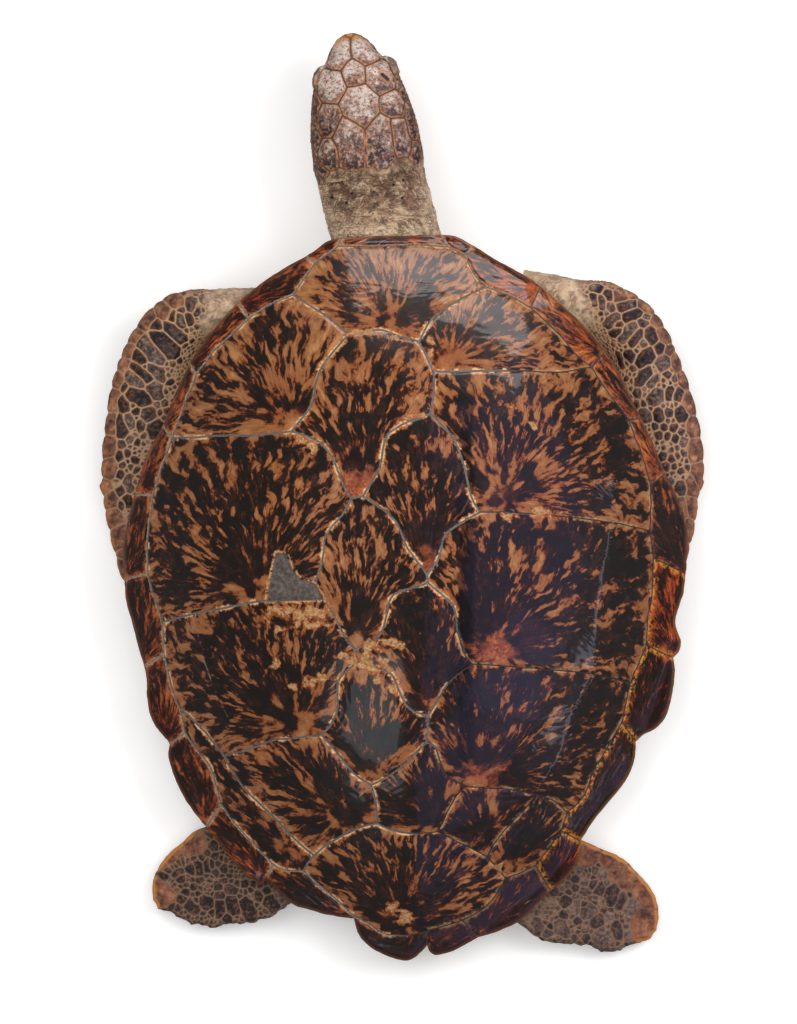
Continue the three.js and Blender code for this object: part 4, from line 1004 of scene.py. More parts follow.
# from shoulder to tip: the leading edge (x, y, height), the trailing edge (x, y, height) and the thickness
leftFore = [
    (262, 288, 86, 292, 352, 70, 52), (238, 288, 88, 262, 350, 68, 54), (212, 289, 86, 232, 352, 62, 52),
    (183, 291, 80, 212, 352, 56, 46), (156, 304, 70, 200, 366, 53, 40), (130, 336, 56, 196, 388, 50, 33),
    (113, 378, 44, 197, 416, 50, 27), (105, 424, 37, 194, 446, 50, 23), (101, 468, 32, 188, 478, 48, 19),
    (103, 503, 28, 178, 512, 44, 15), (110, 538, 22, 168, 548, 36, 12), (119, 572, 15, 155, 582, 25, 9),
    (130, 600, 9, 143, 606, 14, 6),
]
rightFore = [
    (524, 270, 88, 508, 340, 70, 52), (550, 274, 90, 528, 344, 68, 54), (580, 280, 88, 556, 346, 63, 52),
    (609, 282, 82, 583, 344, 58, 47), (640, 298, 72, 603, 356, 54, 41), (664, 325, 60, 611, 376, 52, 34),
    (683, 368, 48, 613, 404, 51, 28), (697, 414, 40, 617, 434, 50, 24),
    (704.5, 462, 34, 626, 470, 48, 20), (699, 500, 28, 637, 506, 44, 15),
    (694, 533, 22, 646, 540, 36, 12), (685, 566, 15, 655, 574, 25, 9), (673, 592, 9, 663, 598, 14, 6),
]

# the larger scales, read on enlarged parts of the sheet: two ends and a radius
leftForeView = {"x": 90.0, "y": 260.0, "times": 5.225}
leftForeScales = [
    (600, 190, 640, 185, 30), (520, 215, 530, 235, 38), (480, 250, 22), (555, 240, 555, 275, 20),
    (515, 290, 520, 320, 22), (465, 300, 480, 330, 25), (420, 280, 430, 300, 22),
    (340, 345, 355, 355, 22), (410, 350, 480, 410, 28), (350, 400, 430, 480, 40),
    (280, 430, 350, 520, 38), (245, 490, 270, 515, 25), (330, 560, 370, 600, 30),
    (230, 570, 300, 620, 26), (210, 600, 250, 640, 32), (330, 670, 350, 700, 35),
    (230, 700, 280, 730, 38), (170, 660, 18), (150, 740, 175, 765, 26), (300, 800, 310, 810, 35),
    (240, 790, 18), (195, 830, 215, 860, 22), (255, 860, 265, 880, 22), (290, 910, 22),
    (145, 840, 165, 900, 30), (205, 935, 20), (160, 960, 18), (240, 955, 14), (345, 870, 320, 900, 38),
    (150, 1020, 145, 1035, 20), (190, 1010, 16), (230, 1045, 20), (165, 1070, 16), (210, 1080, 14),
    (237, 1095, 14), (150, 1120, 20), (200, 1150, 205, 1190, 22), (155, 1205, 20), (225, 1160, 14),
    (190, 1250, 200, 1280, 20), (160, 1280, 16), (560, 350, 13), (590, 300, 14), (540, 430, 13),
    (500, 450, 13), (470, 530, 15), (430, 540, 14), (400, 600, 14), (420, 640, 15), (390, 690, 14),
    (385, 745, 16), (400, 790, 14), (360, 800, 12), (350, 750, 14),
]
leftForePlates = [
    (440, 205, 470, 215, 30), (380, 255, 400, 275, 25), (270, 330, 290, 300, 26),
    (215, 400, 235, 380, 28), (185, 480, 195, 450, 26), (160, 560, 165, 530, 26),
    (135, 640, 140, 600, 26), (110, 760, 115, 700, 28), (100, 880, 105, 830, 32),
    (90, 1000, 92, 950, 34), (100, 1100, 98, 1060, 34), (70, 1190, 30), (100, 1270, 95, 1240, 30),
    (120, 1370, 110, 1330, 32), (150, 1470, 140, 1420, 34), (180, 1540, 30), (175, 1640, 165, 1600, 34),
    (200, 1740, 195, 1700, 34), (215, 1560, 225, 1640, 26), (230, 1800, 240, 1840, 34),
]
rightForeView = {"x": 560.0, "y": 270.0, "times": 6.817}
rightForeScales = [
    (230, 170, 240, 230, 20), (280, 190, 290, 250, 22), (330, 150, 345, 170, 30), (170, 180, 15),
    (235, 100, 260, 110, 35), (420, 245, 510, 215, 32), (460, 320, 540, 280, 30),
    (340, 245, 355, 260, 25), (320, 370, 380, 320, 30), (280, 300, 15), (400, 370, 22),
    (350, 450, 400, 420, 25), (430, 470, 500, 390, 35), (560, 360, 575, 365, 25),
    (490, 490, 540, 430, 32), (590, 310, 18), (575, 500, 25), (620, 430, 630, 460, 45),
    (675, 540, 690, 520, 32), (470, 580, 480, 590, 35), (560, 620, 610, 570, 42),
    (700, 640, 720, 620, 40), (350, 530, 20), (380, 600, 410, 660, 28), (450, 740, 18), (500, 675, 15),
    (540, 760, 600, 690, 32), (620, 780, 660, 740, 22), (740, 715, 25), (785, 740, 22), (530, 835, 28),
    (640, 880, 670, 850, 45), (745, 850, 760, 820, 30), (810, 850, 830, 830, 38), (520, 915, 20),
    (575, 910, 15), (580, 845, 10), (580, 985, 590, 1000, 38), (675, 975, 680, 1000, 35), (745, 970, 30),
    (830, 970, 845, 1000, 42), (650, 1065, 20), (715, 1065, 20), (780, 1070, 25), (835, 1100, 20),
    (675, 1130, 25), (740, 1135, 20), (790, 1150, 25), (850, 1170, 28), (765, 1220, 15), (700, 1270, 25),
    (770, 1290, 22), (810, 1270, 18), (850, 1250, 20), (730, 1340, 25), (785, 1340, 22), (830, 1370, 25),
    (830, 1480, 40), (760, 1440, 25),
]
rightForePlates = [
    (400, 170, 440, 160, 40), (670, 350, 30), (700, 420, 720, 460, 35), (755, 545, 35),
    (800, 600, 810, 650, 35), (850, 720, 860, 780, 34), (885, 870, 900, 930, 40),
    (905, 1040, 915, 1090, 38), (920, 1200, 930, 1270, 40), (950, 1350, 955, 1420, 35),
    (905, 1450, 920, 1500, 38), (905, 1590, 910, 1640, 36), (840, 1600, 850, 1660, 30),
    (870, 1740, 860, 1800, 40), (830, 1900, 820, 1960, 44), (780, 2080, 770, 2120, 44),
    (560, 220, 590, 240, 30), (480, 150, 500, 160, 24),
]
foreLook = {
    "rows": 340, "columns": 250, "relief": 2.3, "softness": 2.2, "fill": 4.2, "fillRadius": 1.5,
    "push": 0.8, "hideFront": 2.15, "hideSlope": 1.15, "wrinkle": 0.9,
}


# the surface of a fore flipper: lens-shaped sections between its two edges, on a smooth line of stations
def foreSurface(stations, rows, columns):
    t = np.linspace(0, len(stations) - 1, rows)
    values = stationValues(stations, t)
    angle = roundAngles(columns)
    c = np.cos(angle)
    share = 0.5 - 0.5 * squared(c, 0.9)
    swell = 0.5 * values[..., 6] * np.sin(angle) * (1 - 0.25 * share)
    plan = [values[..., k] + (values[..., k + 3] - values[..., k]) * share for k in range(3)]
    lead = values[..., :2] - values[..., 3:5]
    lead = lead / np.linalg.norm(lead, axis=-1, keepdims=True)
    # scale places follow the plan, and run on outwards where the leading side turns down
    crown = np.maximum(values[..., 2], plan[2]) + 0.34 * values[..., 6]
    drop = foreLook["push"] * np.maximum(crown - plan[2] - swell, 0)
    drop = drop * easeStep(0.5, 0.1, share) - drop * easeStep(0.6, 0.95, share)
    patternX = plan[0] + lead[..., 0] * drop
    patternY = plan[1] + lead[..., 1] * drop
    points = onFrame(plan[0], plan[1], plan[2] + swell)
    return points, patternX, patternY, t[:, None] + 0 * share, share + 0 * t[:, None]


# A fore flipper. Its height is the relief of its scales, and on the hide at its root a rough noise less the
# depth of its wrinkles; the hide ends at hideFront + hideSlope * share of the stations.
def makeFore(name, stations, view, scales, plates, seed):
    look = foreLook
    points, px, py, t, share = foreSurface(stations, look["rows"], look["columns"])
    large = np.concatenate([toSheet(scales, view), toSheet(plates, view)])
    small = fillScales(*aroundPlan(px, py), look["fill"], look["fillRadius"], seed, large, 0.55, len(scales))
    border, owner = scalePattern(px, py, np.concatenate([large, small]))
    hideEnd = look["hideFront"] + look["hideSlope"] * share - 0.3 * softNoise(px / 7, py / 7, seed)
    hide = 1 - easeStep(-0.35, 0.35, t - hideEnd)
    brown = ((owner >= len(scales)) & (owner < len(large))).astype(float)
    brown = np.maximum(brown, (owner >= len(large)) * easeStep(0.22, 0.06, share))
    tone = cellNumber(owner, 3 * owner, seed)
    lean = 1 if view["x"] < sheet["x"] else -1  # the folds run up towards the neck
    crease = wrinkles(px, py, seed + 9, (-52 * lean, -38 * lean, -66 * lean), 5.0, 4.0)
    relief = scaleRelief(border, px, py, look, 0.8, 0.25, 3, seed + 4)
    rough = 0.5 * roughNoise(px / 5, py / 5, seed + 5, 2) - look["wrinkle"] * crease
    height = relief * (1 - hide) + rough * hide
    row = np.arange(look["rows"])
    points = relieved(points, height * easeStep(0, 3, np.minimum(row, row[::-1]))[:, None])
    outer = 0.55 * brown * easeStep(0.1, 0.0, share) * easeStep(7, 9, t)
    return makeTube(name, points, {
        "scaleEdge": border, "scaleTone": tone, "brown": brown, "hide": hide, "crease": 0.8 * crease,
        "outer": outer,
    })


# a short claw that points back: oval rings that swell from its root and shrink to its tip
def makeClaw(name, x, y, z, side):
    t = np.linspace(0, 1, 30)[:, None]
    angle = roundAngles(30)
    swell = np.minimum(t / 0.4, 1)
    radius = 5.4 * np.sqrt(np.maximum(swell * (2 - swell) * (1 - t ** 1.8), 0.0004))
    points = onFrame(
        x + side * (4 + 1.8 * t ** 2) + radius * np.cos(angle),
        y - 7.5 + 15 * t,
        z - 2 * t ** 2 + 0.8 * radius * np.sin(angle),
    )
    flat = np.zeros(points.shape[:2])
    return makeTube(name, points, {"scaleEdge": flat + 5, "brown": flat + 1, "outer": 0.8 * t + flat})


foreScales = makeScaly("fore flipper scales", {
    "roughness": 0.3, "coat": 0.3, "mottleScale": 0.25, "toneShare": 0.2, "cloudShare": 0.2, "bump": 0.5,
    "scaleRamp": [(0.36, 26, 21, 20), (0.5, 46, 39, 37), (0.6, 88, 73, 64), (0.72, 142, 122, 108)],
    "flecks": [(0.3, 1.0, (150, 84, 44), 0.35)], "outerTone": (186, 112, 58),
    "brownRamp": [(0.32, 66, 44, 36), (0.46, 106, 68, 50), (0.58, 142, 94, 66), (0.72, 178, 126, 86)],
    "rimWidth": 2.6, "rimWander": 4.0, "rimShare": 0.6, "rimRamp": [(0.4, 76, 52, 42), (0.6, 150, 88, 46)],
    "lineRamp": [(0.3, 134, 106, 82), (0.55, 186, 148, 112), (0.75, 216, 184, 146)],
    "lineWidth": 1.15, "lineCore": 0.3,
    "hideRamp": [(0.3, 162, 130, 104), (0.5, 194, 164, 134), (0.7, 212, 186, 156)],
    "hideDirections": (-48, -34, -64), "hideFineness": 3.6, "creaseTone": (96, 70, 52), "creaseShare": 0.65,
})
for name, flipper, seed, claw, side in (
    ("fore_flipper_left", (leftFore, leftForeView, leftForeScales, leftForePlates), 31, (99, 489, 29), 1),
    ("fore_flipper_right", (rightFore, rightForeView, rightForeScales, rightForePlates), 47,
     (704.5, 485, 30), -1),
):
    stand(makeFore(name + "_scales", *flipper, seed), foreScales, "flipper_scales", name)
    stand(makeClaw(name + "_claw", *claw, side), foreScales, "flipper_scales", name)


# ---- head, jaw and eyes ----

head = {
    "nape": (371, 178, 98), "snout": (349, 33, 84), "square": 0.86,
    # distance from the nape, half width, height above and depth below the axis
    "stations": [
        (0, 53, 38, 40), (14, 55.5, 43, 44), (30, 55, 45.5, 45), (48, 54, 46, 44), (66, 51, 45, 41),
        (82, 47.5, 42, 38), (97, 43, 37.5, 35), (110, 35, 32.5, 31), (121, 27, 27.5, 28.5),
        (131, 22, 22, 26), (138, 17, 16.5, 23.5), (143, 11, 11, 21.5), (146, 4.5, 6, 19.5),
    ],
    "mouth": [(40, -21), (58, -21), (98, -15), (152, -19)], "jawBack": 58.0,
    "eyeRadius": 12.5, "eyeAlong": 103.0, "eyeOut": 31.0, "eyeUp": 9.0, "lid": 14.4, "socket": 11.3,
    "rows": 300, "columns": 290, "relief": 1.5, "softness": 1.7,
}
headLength = math.hypot(head["snout"][0] - head["nape"][0], head["snout"][1] - head["nape"][1])
headView = {"x": 295.0, "y": 25.0, "times": 7.127}
headShields = [  # two ends, a radius, and how dark the shield is
    (345, 150, 285, 265, 62, 0.1), (450, 150, 530, 225, 66, 0.15), (420, 358, 422, 366, 76, 0.25),
    (250, 420, 258, 450, 92, 0.2), (590, 350, 612, 400, 84, 0.3), (462, 560, 470, 620, 112, 0.25),
    (240, 675, 240, 710, 76, 0.7), (700, 580, 705, 600, 78, 0.5), (232, 920, 240, 960, 70, 0.7),
    (380, 770, 408, 950, 92, 0.6), (622, 750, 600, 945, 88, 0.62), (720, 730, 778, 880, 58, 0.6),
    (838, 590, 862, 780, 38, 0.95), (870, 880, 872, 950, 42, 1.0), (790, 440, 810, 500, 34, 0.8),
    (122, 560, 118, 640, 34, 0.9), (120, 760, 130, 860, 34, 0.95), (160, 1020, 190, 1060, 36, 0.95),
    (700, 210, 720, 300, 30, 0.2), (160, 300, 140, 380, 24, 0.3),
]


# a point given by distance along the head, offset to the right and height over its axis
def onHead(along, right, up):
    t = along / headLength
    dx = (head["snout"][0] - head["nape"][0]) / headLength
    dy = (head["snout"][1] - head["nape"][1]) / headLength
    x = head["nape"][0] + dx * along - dy * right
    y = head["nape"][1] + dy * along + dx * right
    return x, y, head["nape"][2] + (head["snout"][2] - head["nape"][2]) * t + up


# Bulges the lids out round each eye: near an eye the surface lies no closer to its middle than the lid's
# radius, and inside a pointed opening it sinks below the eyeball.
def withEyelids(along, right, up):
    lids = 0.0 * along * right
    for side in (-1, 1):
        a = along - head["eyeAlong"]
        r = (right - side * head["eyeOut"]) * side
        u = up - head["eyeUp"]
        away = np.sqrt(a * a + r * r + u * u) + 1e-6
        opening = easeStep(1.15, 0.85, (a / 10.0) ** 2 + ((u + 2.5) / 5.2) ** 2) * (r > 0)
        lid = head["lid"] + 0.5 * np.cos(2.2 * u) * (1 - opening)
        target = np.maximum(away, lid) * (1 - opening) + head["socket"] * opening
        near = easeStep(20.0, 15.5, away) * (r > -2)
        lids = np.maximum(lids, easeStep(16.5, 14.5, away) * (r > 2) * easeStep(10.0, 7.0, u))
        scale = 1 + (target / away - 1) * near
        along = head["eyeAlong"] + a * scale
        right = side * (head["eyeOut"] + r * scale)
        up = head["eyeUp"] + u * scale
    return along, right, up, lids


# the head's surface with its relief; the mouth line parts it, and the part asked for keeps its own side
def makeHeadPart(name, jaw):
    look = head
    first = look["jawBack"] if jaw else 0.0
    rows = look["rows"] // 2 if jaw else look["rows"]
    along = (first + (146 - first) * np.linspace(0, 1, rows) ** 0.88)[:, None]
    sizes = smoothCurve(look["stations"], along[:, 0])[:, None, :]
    angle = roundAngles(look["columns"])
    c = np.cos(angle)
    s = np.sin(angle)
    right = sizes[..., 0] * squared(c, look["square"])
    up = np.where(s > 0, sizes[..., 1], sizes[..., 2]) * squared(s, look["square"])
    along = along + 0 * angle
    # the beak narrows to a hooked tip, and a low ridge frames each side of the crown
    beak = easeStep(112, 145, along)
    up = up - 2.0 * beak * bell(right, 7) * (s > 0)
    lids = 0.0 * along
    if not jaw:
        along, right, up, lids = withEyelids(along, right, up)
    line = np.interp(along, *np.array(look["mouth"]).T)
    x, y, z = onHead(along, right, up)
    crown = sizes[..., 1] * 0.62
    aside = np.abs(right) / sizes[..., 0]
    drop = 0.75 * np.maximum(crown - up, 0) * np.sign(right) * easeStep(0.35, 0.75, aside)
    px, py, pz = onHead(along, right + drop, up)
    shields = toSheet([row[:5] for row in headShields], headView)
    small = fillScales(*aroundPlan(px, py), 5.6, 2.0, 73, shields, 0.95)
    border, owner = scalePattern(px, py, np.concatenate([shields, small]))
    isShield = owner < len(shields)
    mine = np.minimum(owner, len(shields) - 1)
    darkness = np.array([row[5] for row in headShields])[mine]
    tone = np.where(isShield, darkness, 0.45 + 0.4 * cellNumber(owner, owner, 5))
    tone = np.maximum(tone, 0.75 * easeStep(0.75, 1.0, aside) * easeStep(100, 70, along))
    # each large shield darkens towards its rear
    front, rear, radius = shields[mine][..., 1], shields[mine][..., 3], shields[mine][..., 4]
    lean = (py - 0.5 * (front + rear)) / (radius + 0.5 * np.abs(rear - front))
    tone = tone + 0.3 * np.clip(lean, -1, 1) * isShield
    hide = easeStep(20, 9, along - 4 * np.cos(right / 14) + 2.5 * softNoise(px / 5, py / 5, 3)) * ~isShield
    beakEdge = easeStep(133, 142, along + 3 * softNoise(px / 6, py / 6, 8))
    relief = scaleRelief(border, px, py, look, 0.9, 0.3, 4, 6, 3)
    crease = wrinkles(px, py, 91, (10, 70, 130), 2.2)
    relief = relief * (1 - hide) - 0.8 * crease * hide
    slit = segmentDistance(px, py, toSheet([(626, 362, 664, 396, 12)], headView)[:, :4])
    slit = np.where(right > 0, slit, 60.0)
    relief = relief - 1.8 * bell(slit, 2.2) + 0.5 * bell(slit - 3.6, 1.2)
    relief = relief * easeStep(146, 143, along) * easeStep(-0.5, 1.5, along - first)
    points = relieved(onFrame(x, y, z), relief)
    # the flat faces on both sides of the mouth line
    level = onHead(along, right, line)[2] * sheet["millimetre"]
    if jaw:
        points[..., 2] = np.minimum(points[..., 2], level - 0.0003)
    else:
        behind = easeStep(59.5, 57.5, along)
        lowest = np.where(behind < 0.999, level - 0.06 * behind, -1.0)
        points[..., 2] = np.maximum(points[..., 2], lowest)
    # painted shade: the inside of the hole in the shield is painted near black
    dark = easeStep(2.4, 1.4, slit)
    ring = bell(slit - 3.4, 0.9)
    # the lids are wrinkled skin, with folds that follow the eye's opening
    lidWay = 1.5 * (up - head["eyeUp"]) + 0.8 * roughNoise(px / 3, pz / 3, 77, 2)
    lidFolds = (0.5 + 0.5 * np.cos(lidWay)) ** 2
    crease = np.where(lids > 0.1, lidFolds, crease)
    values = {
        "scaleEdge": border, "scaleTone": tone, "brown": np.maximum(beakEdge, 0.8 * ring), "outer": dark,
        "hide": np.maximum(hide * (1 - 0.4 * easeStep(4, 12, along)), 0.9 * lids), "crease": crease,
    }
    return makeTube(name, points, values)


headHorn = makeScaly("head shields", {
    "roughness": 0.4, "coat": 0.2, "mottleScale": 0.34, "toneShare": 0.42, "cloudShare": 0.75, "bump": 0.45,
    "scaleRamp": [
        (0.3, 204, 188, 178), (0.4, 182, 160, 148), (0.46, 148, 120, 104), (0.54, 104, 82, 74),
        (0.64, 64, 50, 48), (0.74, 44, 34, 36),
    ],
    "flecks": [
        (0.34, 2.0, (166, 84, 42), 0.7), (0.42, 5.0, (50, 38, 38), 0.75), (0.28, 8.0, (208, 186, 170), 0.35),
    ],
    # the outer tone here is the painted shade inside the hole in the shield
    "brownRamp": [(0.3, 128, 72, 34), (0.5, 190, 118, 52), (0.7, 214, 150, 74)], "outerTone": (40, 26, 20),
    "rimWidth": 2.6, "rimWander": 6.0, "rimShare": 0.8, "lineWidth": 1.1, "lineCore": 0.35,
    "rimRamp": [(0.42, 128, 76, 48), (0.58, 204, 140, 80)],
    "lineRamp": [(0.3, 48, 32, 26), (0.6, 92, 60, 42)],
    "hideRamp": [(0.3, 118, 92, 68), (0.5, 160, 132, 104), (0.7, 194, 168, 138)],
    "hideDirections": (12, 58, -40), "hideFineness": 3.4, "creaseTone": (58, 40, 30), "creaseShare": 0.85,
})
stand(makeHeadPart("head_shields", False), headHorn, "head_horn", "head")
stand(makeHeadPart("lower_jaw_shields", True), headHorn, "head_horn", "lower_jaw")


# polished glass eye: a dark pupil, a brown iris and a pale rim, by the angle from the outward direction
def makeEye(name, side):
    rows = 60
    columns = 90
    polar = np.linspace(0.02, math.pi - 0.02, rows)[:, None]
    angle = roundAngles(columns)
    out = np.cos(polar) + 0 * angle
    around = head["eyeRadius"] * np.sin(polar)
    x, y, z = onHead(
        head["eyeAlong"] + around * np.cos(angle),
        side * (head["eyeOut"] + head["eyeRadius"] * out),
        head["eyeUp"] + around * np.sin(angle),
    )
    return makeTube(name, onFrame(x, y, z), {"outward": np.degrees(polar) + 0 * angle})


# the glass: pupil, iris, its dark rim and the pale white of the eye, by degrees from its outward direction
def makeGlass():
    material, shader = newMaterial("glass eye", {
        "Roughness": 0.06, "Coat Weight": 1.0, "Coat Roughness": 0.03, "Specular IOR Level": 0.5,
    })
    ramp = [
        (0.0, 6, 5, 4), (0.15, 8, 6, 5), (0.19, 60, 34, 16), (0.3, 84, 52, 24), (0.34, 26, 18, 14),
        (0.5, 120, 108, 96),
    ]
    feed(shader, {"Base Color": colourRamp(sums("DIVIDE", readValue("outward"), 180.0), ramp)})
    return material


eyeGlass = makeGlass()
stand(makeEye("eye_left_glass", -1), eyeGlass, "eye_glass", "eye_left")
stand(makeEye("eye_right_glass", 1), eyeGlass, "eye_glass", "eye_right")


# ---- neck ----

neck = {
    # x, y, height, half width, half depth
    "stations": [
        (396, 306, 64, 50, 27), (391, 276, 74, 54, 35), (388, 247, 82, 54.5, 39), (382, 222, 88, 54, 41),
        (376, 199, 92, 54, 41.5), (371.5, 180, 95, 53.5, 41), (370, 172, 96, 53, 41),
    ],
    "rows": 340, "columns": 270, "depth": 1.7, "swell": 0.9,
}
neckSpots = [(332, 198.5), (393.5, 186), (352, 195), (346.5, 204), (402, 199.5), (403.5, 181.5)]


# the neck: oval sections square to its line, wrinkled all over and folded across near the shell
def makeNeck():
    rows = neck["rows"]
    values = stationValues(neck["stations"], 6 * np.linspace(0, 1, rows) ** 0.72)[:, 0]
    heading = np.gradient(values[:, :2], axis=0)
    heading /= np.linalg.norm(heading, axis=1, keepdims=True)
    angle = roundAngles(neck["columns"])
    right = values[:, 3:4] * np.cos(angle)
    x = values[:, 0:1] - heading[:, 1:2] * right
    way = values[:, 1:2] + heading[:, 0:1] * right
    z = values[:, 2:3] + values[:, 4:5] * np.sin(angle)
    # wrinkles are read by the arc round the section and the way along, so the sides don't stretch them
    arc = 52 * np.where(angle < math.pi, angle, angle - 2 * math.pi) + 0 * right
    crease = wrinkles(arc, way, 120, (8, -22, 42, -58, 86), 2.4, 4.0)
    bent = way + 5 * softNoise(arc / 30, way / 30, 8)
    folds = np.exp(-np.abs(softNoise(arc / 34, bent / 5.2, 133)) / 0.12)
    folds = folds * easeStep(200, 212, way) * (1 - 0.7 * easeStep(222, 232, way))
    broad = 0.9 * roughNoise(arc / 15, way / 10, 140, 2)
    fine = 0.25 * roughNoise(arc / 1.6, way / 1.6, 141, 2)
    height = neck["swell"] * broad + fine - neck["depth"] * crease - 1.1 * folds
    points = relieved(onFrame(x, way, z), height * easeStep(0, 4, np.arange(rows))[:, None])
    dark = 0.85 * easeStep(226, 206, way + 9 * softNoise(arc / 22, way / 12, 150))
    dark = dark * easeStep(70, 34, np.abs(arc - 84))
    # painted light: the collar next to the shell, and the sides and underside of the neck near it, are
    # painted paler to lift the shade there
    collar = easeStep(221, 230, way + 2 * softNoise(arc / 20, way / 9, 151))
    pale = np.maximum(collar, 0.7 * easeStep(34, 62, np.abs(arc - 82)) * easeStep(186, 204, way))
    spots = 0 * arc
    for sx, sy in neckSpots:
        spots = np.maximum(spots, np.exp(-((x - sx) ** 2 + (way - sy) ** 2) / 3.2) * (z > values[:, 2:3]))
    creased = np.maximum(crease, 0.8 * folds)
    return makeTube("neck_hide", points, {"crease": creased, "dark": dark, "spots": spots, "pale": pale})


# dried hide: tan, lighter on the ridges, painted lighter near the shell and on the neck's sides as painted
# light, dark in the creases and behind the head
def makeHide(name, look):
    material, shader = newMaterial(name, {
        "Roughness": 0.68, "Coat Weight": 0.0, "Coat Roughness": 0.15, "Specular IOR Level": 0.5,
    })
    places = placesInMillimetres()
    cloud = noiseOf(places, 0.07, 4.0, 0.6)
    grit = noiseOf(places, 0.7, 5.0, 0.72)
    value = around(grit, 0.7, onto(cloud, 0.5, 0.25))
    pale = wrinkleLines(places, look["paleDirections"], look["fineness"], 4.0, 0.055, 21.0)
    deep = wrinkleLines(places, look["deepDirections"], look["fineness"] * 1.2, 5.0, 0.05, 41.0)
    deep = sums("MAXIMUM", deep, readValue("crease"))
    skin = colourRamp(value, look["ramp"])
    for share, tone in (
        (times(readValue("dark"), ranged(value, 0.95, 0.4)), look["darkTone"]),
        # painted light on the neck's collar and sides
        (times(readValue("pale"), 0.75), look["paleTone"]),
        (times(pale, look["paleShare"]), look["paleTone"]),
        (times(deep, look["creaseShare"]), look["creaseTone"]),
        (ranged(readValue("spots"), 0.25, 0.7), (34, 26, 24)),
    ):
        skin = blendColours(share, skin, tone)
    height = onto(grit, 0.3, times(cloud, 0.5))
    height = sums("SUBTRACT", onto(pale, 0.5, height), deep)
    feed(shader, {"Base Color": skin, "Normal": bumpOf(height, 0.7, 0.0012)})
    return material


neckHide = makeHide("neck hide", {
    "ramp": [(0.25, 146, 112, 86), (0.45, 176, 142, 114), (0.6, 196, 164, 136), (0.75, 212, 184, 156)],
    "darkTone": (102, 72, 50), "creaseTone": (60, 40, 28), "creaseShare": 0.8, "fineness": 4.4,
    "paleTone": (224, 196, 164), "paleShare": 0.6, "paleDirections": (18, -44, 52),
    "deepDirections": (3, -28, 36),
})
stand(makeNeck(), neckHide, "neck_hide", "neck")


# ---- hind flippers ----

leftHind = {
    "outline": [
        (262, 828), (206, 828), (193, 833), (180, 845), (168, 855), (158, 868), (152, 882), (151, 896),
        (156, 910), (168, 914), (180, 921), (193, 926), (212, 929), (225, 926), (249, 925), (273, 917),
        (290, 905), (318, 884),
    ],
    "root": (300, 856, 38), "tip": (152, 892, 15), "seed": 61, "raggedFrom": 903, "darker": 0.6,
}
rightHind = {
    "outline": [
        (548, 826), (566, 834), (581, 841), (602, 850), (625, 861), (639, 875), (649, 886), (657, 900),
        (660, 916), (656, 934), (642, 945), (626, 950), (611, 955), (588, 947), (566, 946), (546, 943),
        (530, 934), (505, 905),
    ],
    "root": (520, 866, 38), "tip": (659, 922, 15), "seed": 67, "raggedFrom": 936, "darker": 0.0,
}
leftHindView = {"x": 145.0, "y": 800.0, "times": 9.503}
leftHindPlates = [
    (170, 530, 300, 430, 90), (400, 400, 420, 470, 60), (130, 900, 180, 950, 80),
    (510, 440, 520, 440, 60),
]
leftHindScales = [
    (500, 630, 510, 700, 40), (575, 600, 580, 680, 28), (625, 600, 625, 640, 20), (660, 550, 30),
    (540, 575, 25), (585, 510, 25), (640, 450, 45), (430, 660, 440, 690, 35), (280, 720, 310, 700, 30),
    (330, 770, 35), (520, 770, 30), (690, 620, 25), (740, 670, 35), (670, 710, 30),
    (730, 780, 760, 785, 22), (810, 785, 22), (865, 810, 22), (945, 805, 32), (1020, 815, 22),
    (1090, 820, 20), (790, 850, 830, 870, 40), (690, 840, 40), (450, 850, 30), (500, 900, 25),
    (380, 890, 35), (350, 960, 35), (420, 1010, 460, 1060, 45), (560, 970, 600, 1010, 50),
    (700, 920, 40), (700, 1010, 690, 1080, 45), (820, 980, 850, 1060, 50), (640, 1080, 35),
    (950, 1000, 1000, 1100, 60), (1080, 930, 40), (1150, 880, 35), (1180, 970, 1220, 1020, 55),
    (240, 1030, 35), (300, 1050, 30), (780, 1150, 40),
]
rightHindView = {"x": 500.0, "y": 820.0, "times": 9.22}
rightHindPlates = [
    (800, 350, 850, 330, 80), (1020, 370, 1080, 340, 90), (1060, 510, 1080, 490, 50),
    (1190, 540, 1170, 590, 60), (1310, 620, 1350, 720, 90), (1330, 930, 1320, 1050, 85),
]
rightHindScales = [
    (890, 480, 30), (950, 510, 40), (820, 525, 18), (790, 590, 28), (870, 610, 35), (1000, 600, 22),
    (930, 650, 50), (1040, 690, 1050, 740, 70), (1110, 790, 1130, 740, 50), (1210, 830, 1240, 800, 60),
    (700, 555, 30), (630, 610, 25), (700, 640, 25), (790, 675, 38), (640, 680, 20), (500, 670, 45),
    (610, 760, 50), (710, 720, 20), (720, 780, 30), (780, 790, 25), (660, 840, 25), (720, 850, 25),
    (800, 870, 850, 850, 55), (590, 890, 30), (950, 770, 25), (960, 845, 25), (890, 960, 920, 930, 50),
    (1010, 920, 40), (950, 1100, 980, 1180, 85), (1080, 1000, 1110, 1080, 50), (1180, 1080, 45),
    (720, 950, 30), (790, 1020, 25), (560, 980, 600, 1040, 50), (340, 970, 360, 1020, 50),
    (430, 1060, 40), (290, 1020, 35), (700, 1100, 25), (800, 1110, 30), (680, 400, 45), (740, 480, 25),
]
hindLook = {
    "columns": 420, "rings": 74, "thickness": 13.0, "bevel": 5.0, "relief": 1.2, "softness": 1.3,
    "fill": 4.6, "fillRadius": 1.6,
}


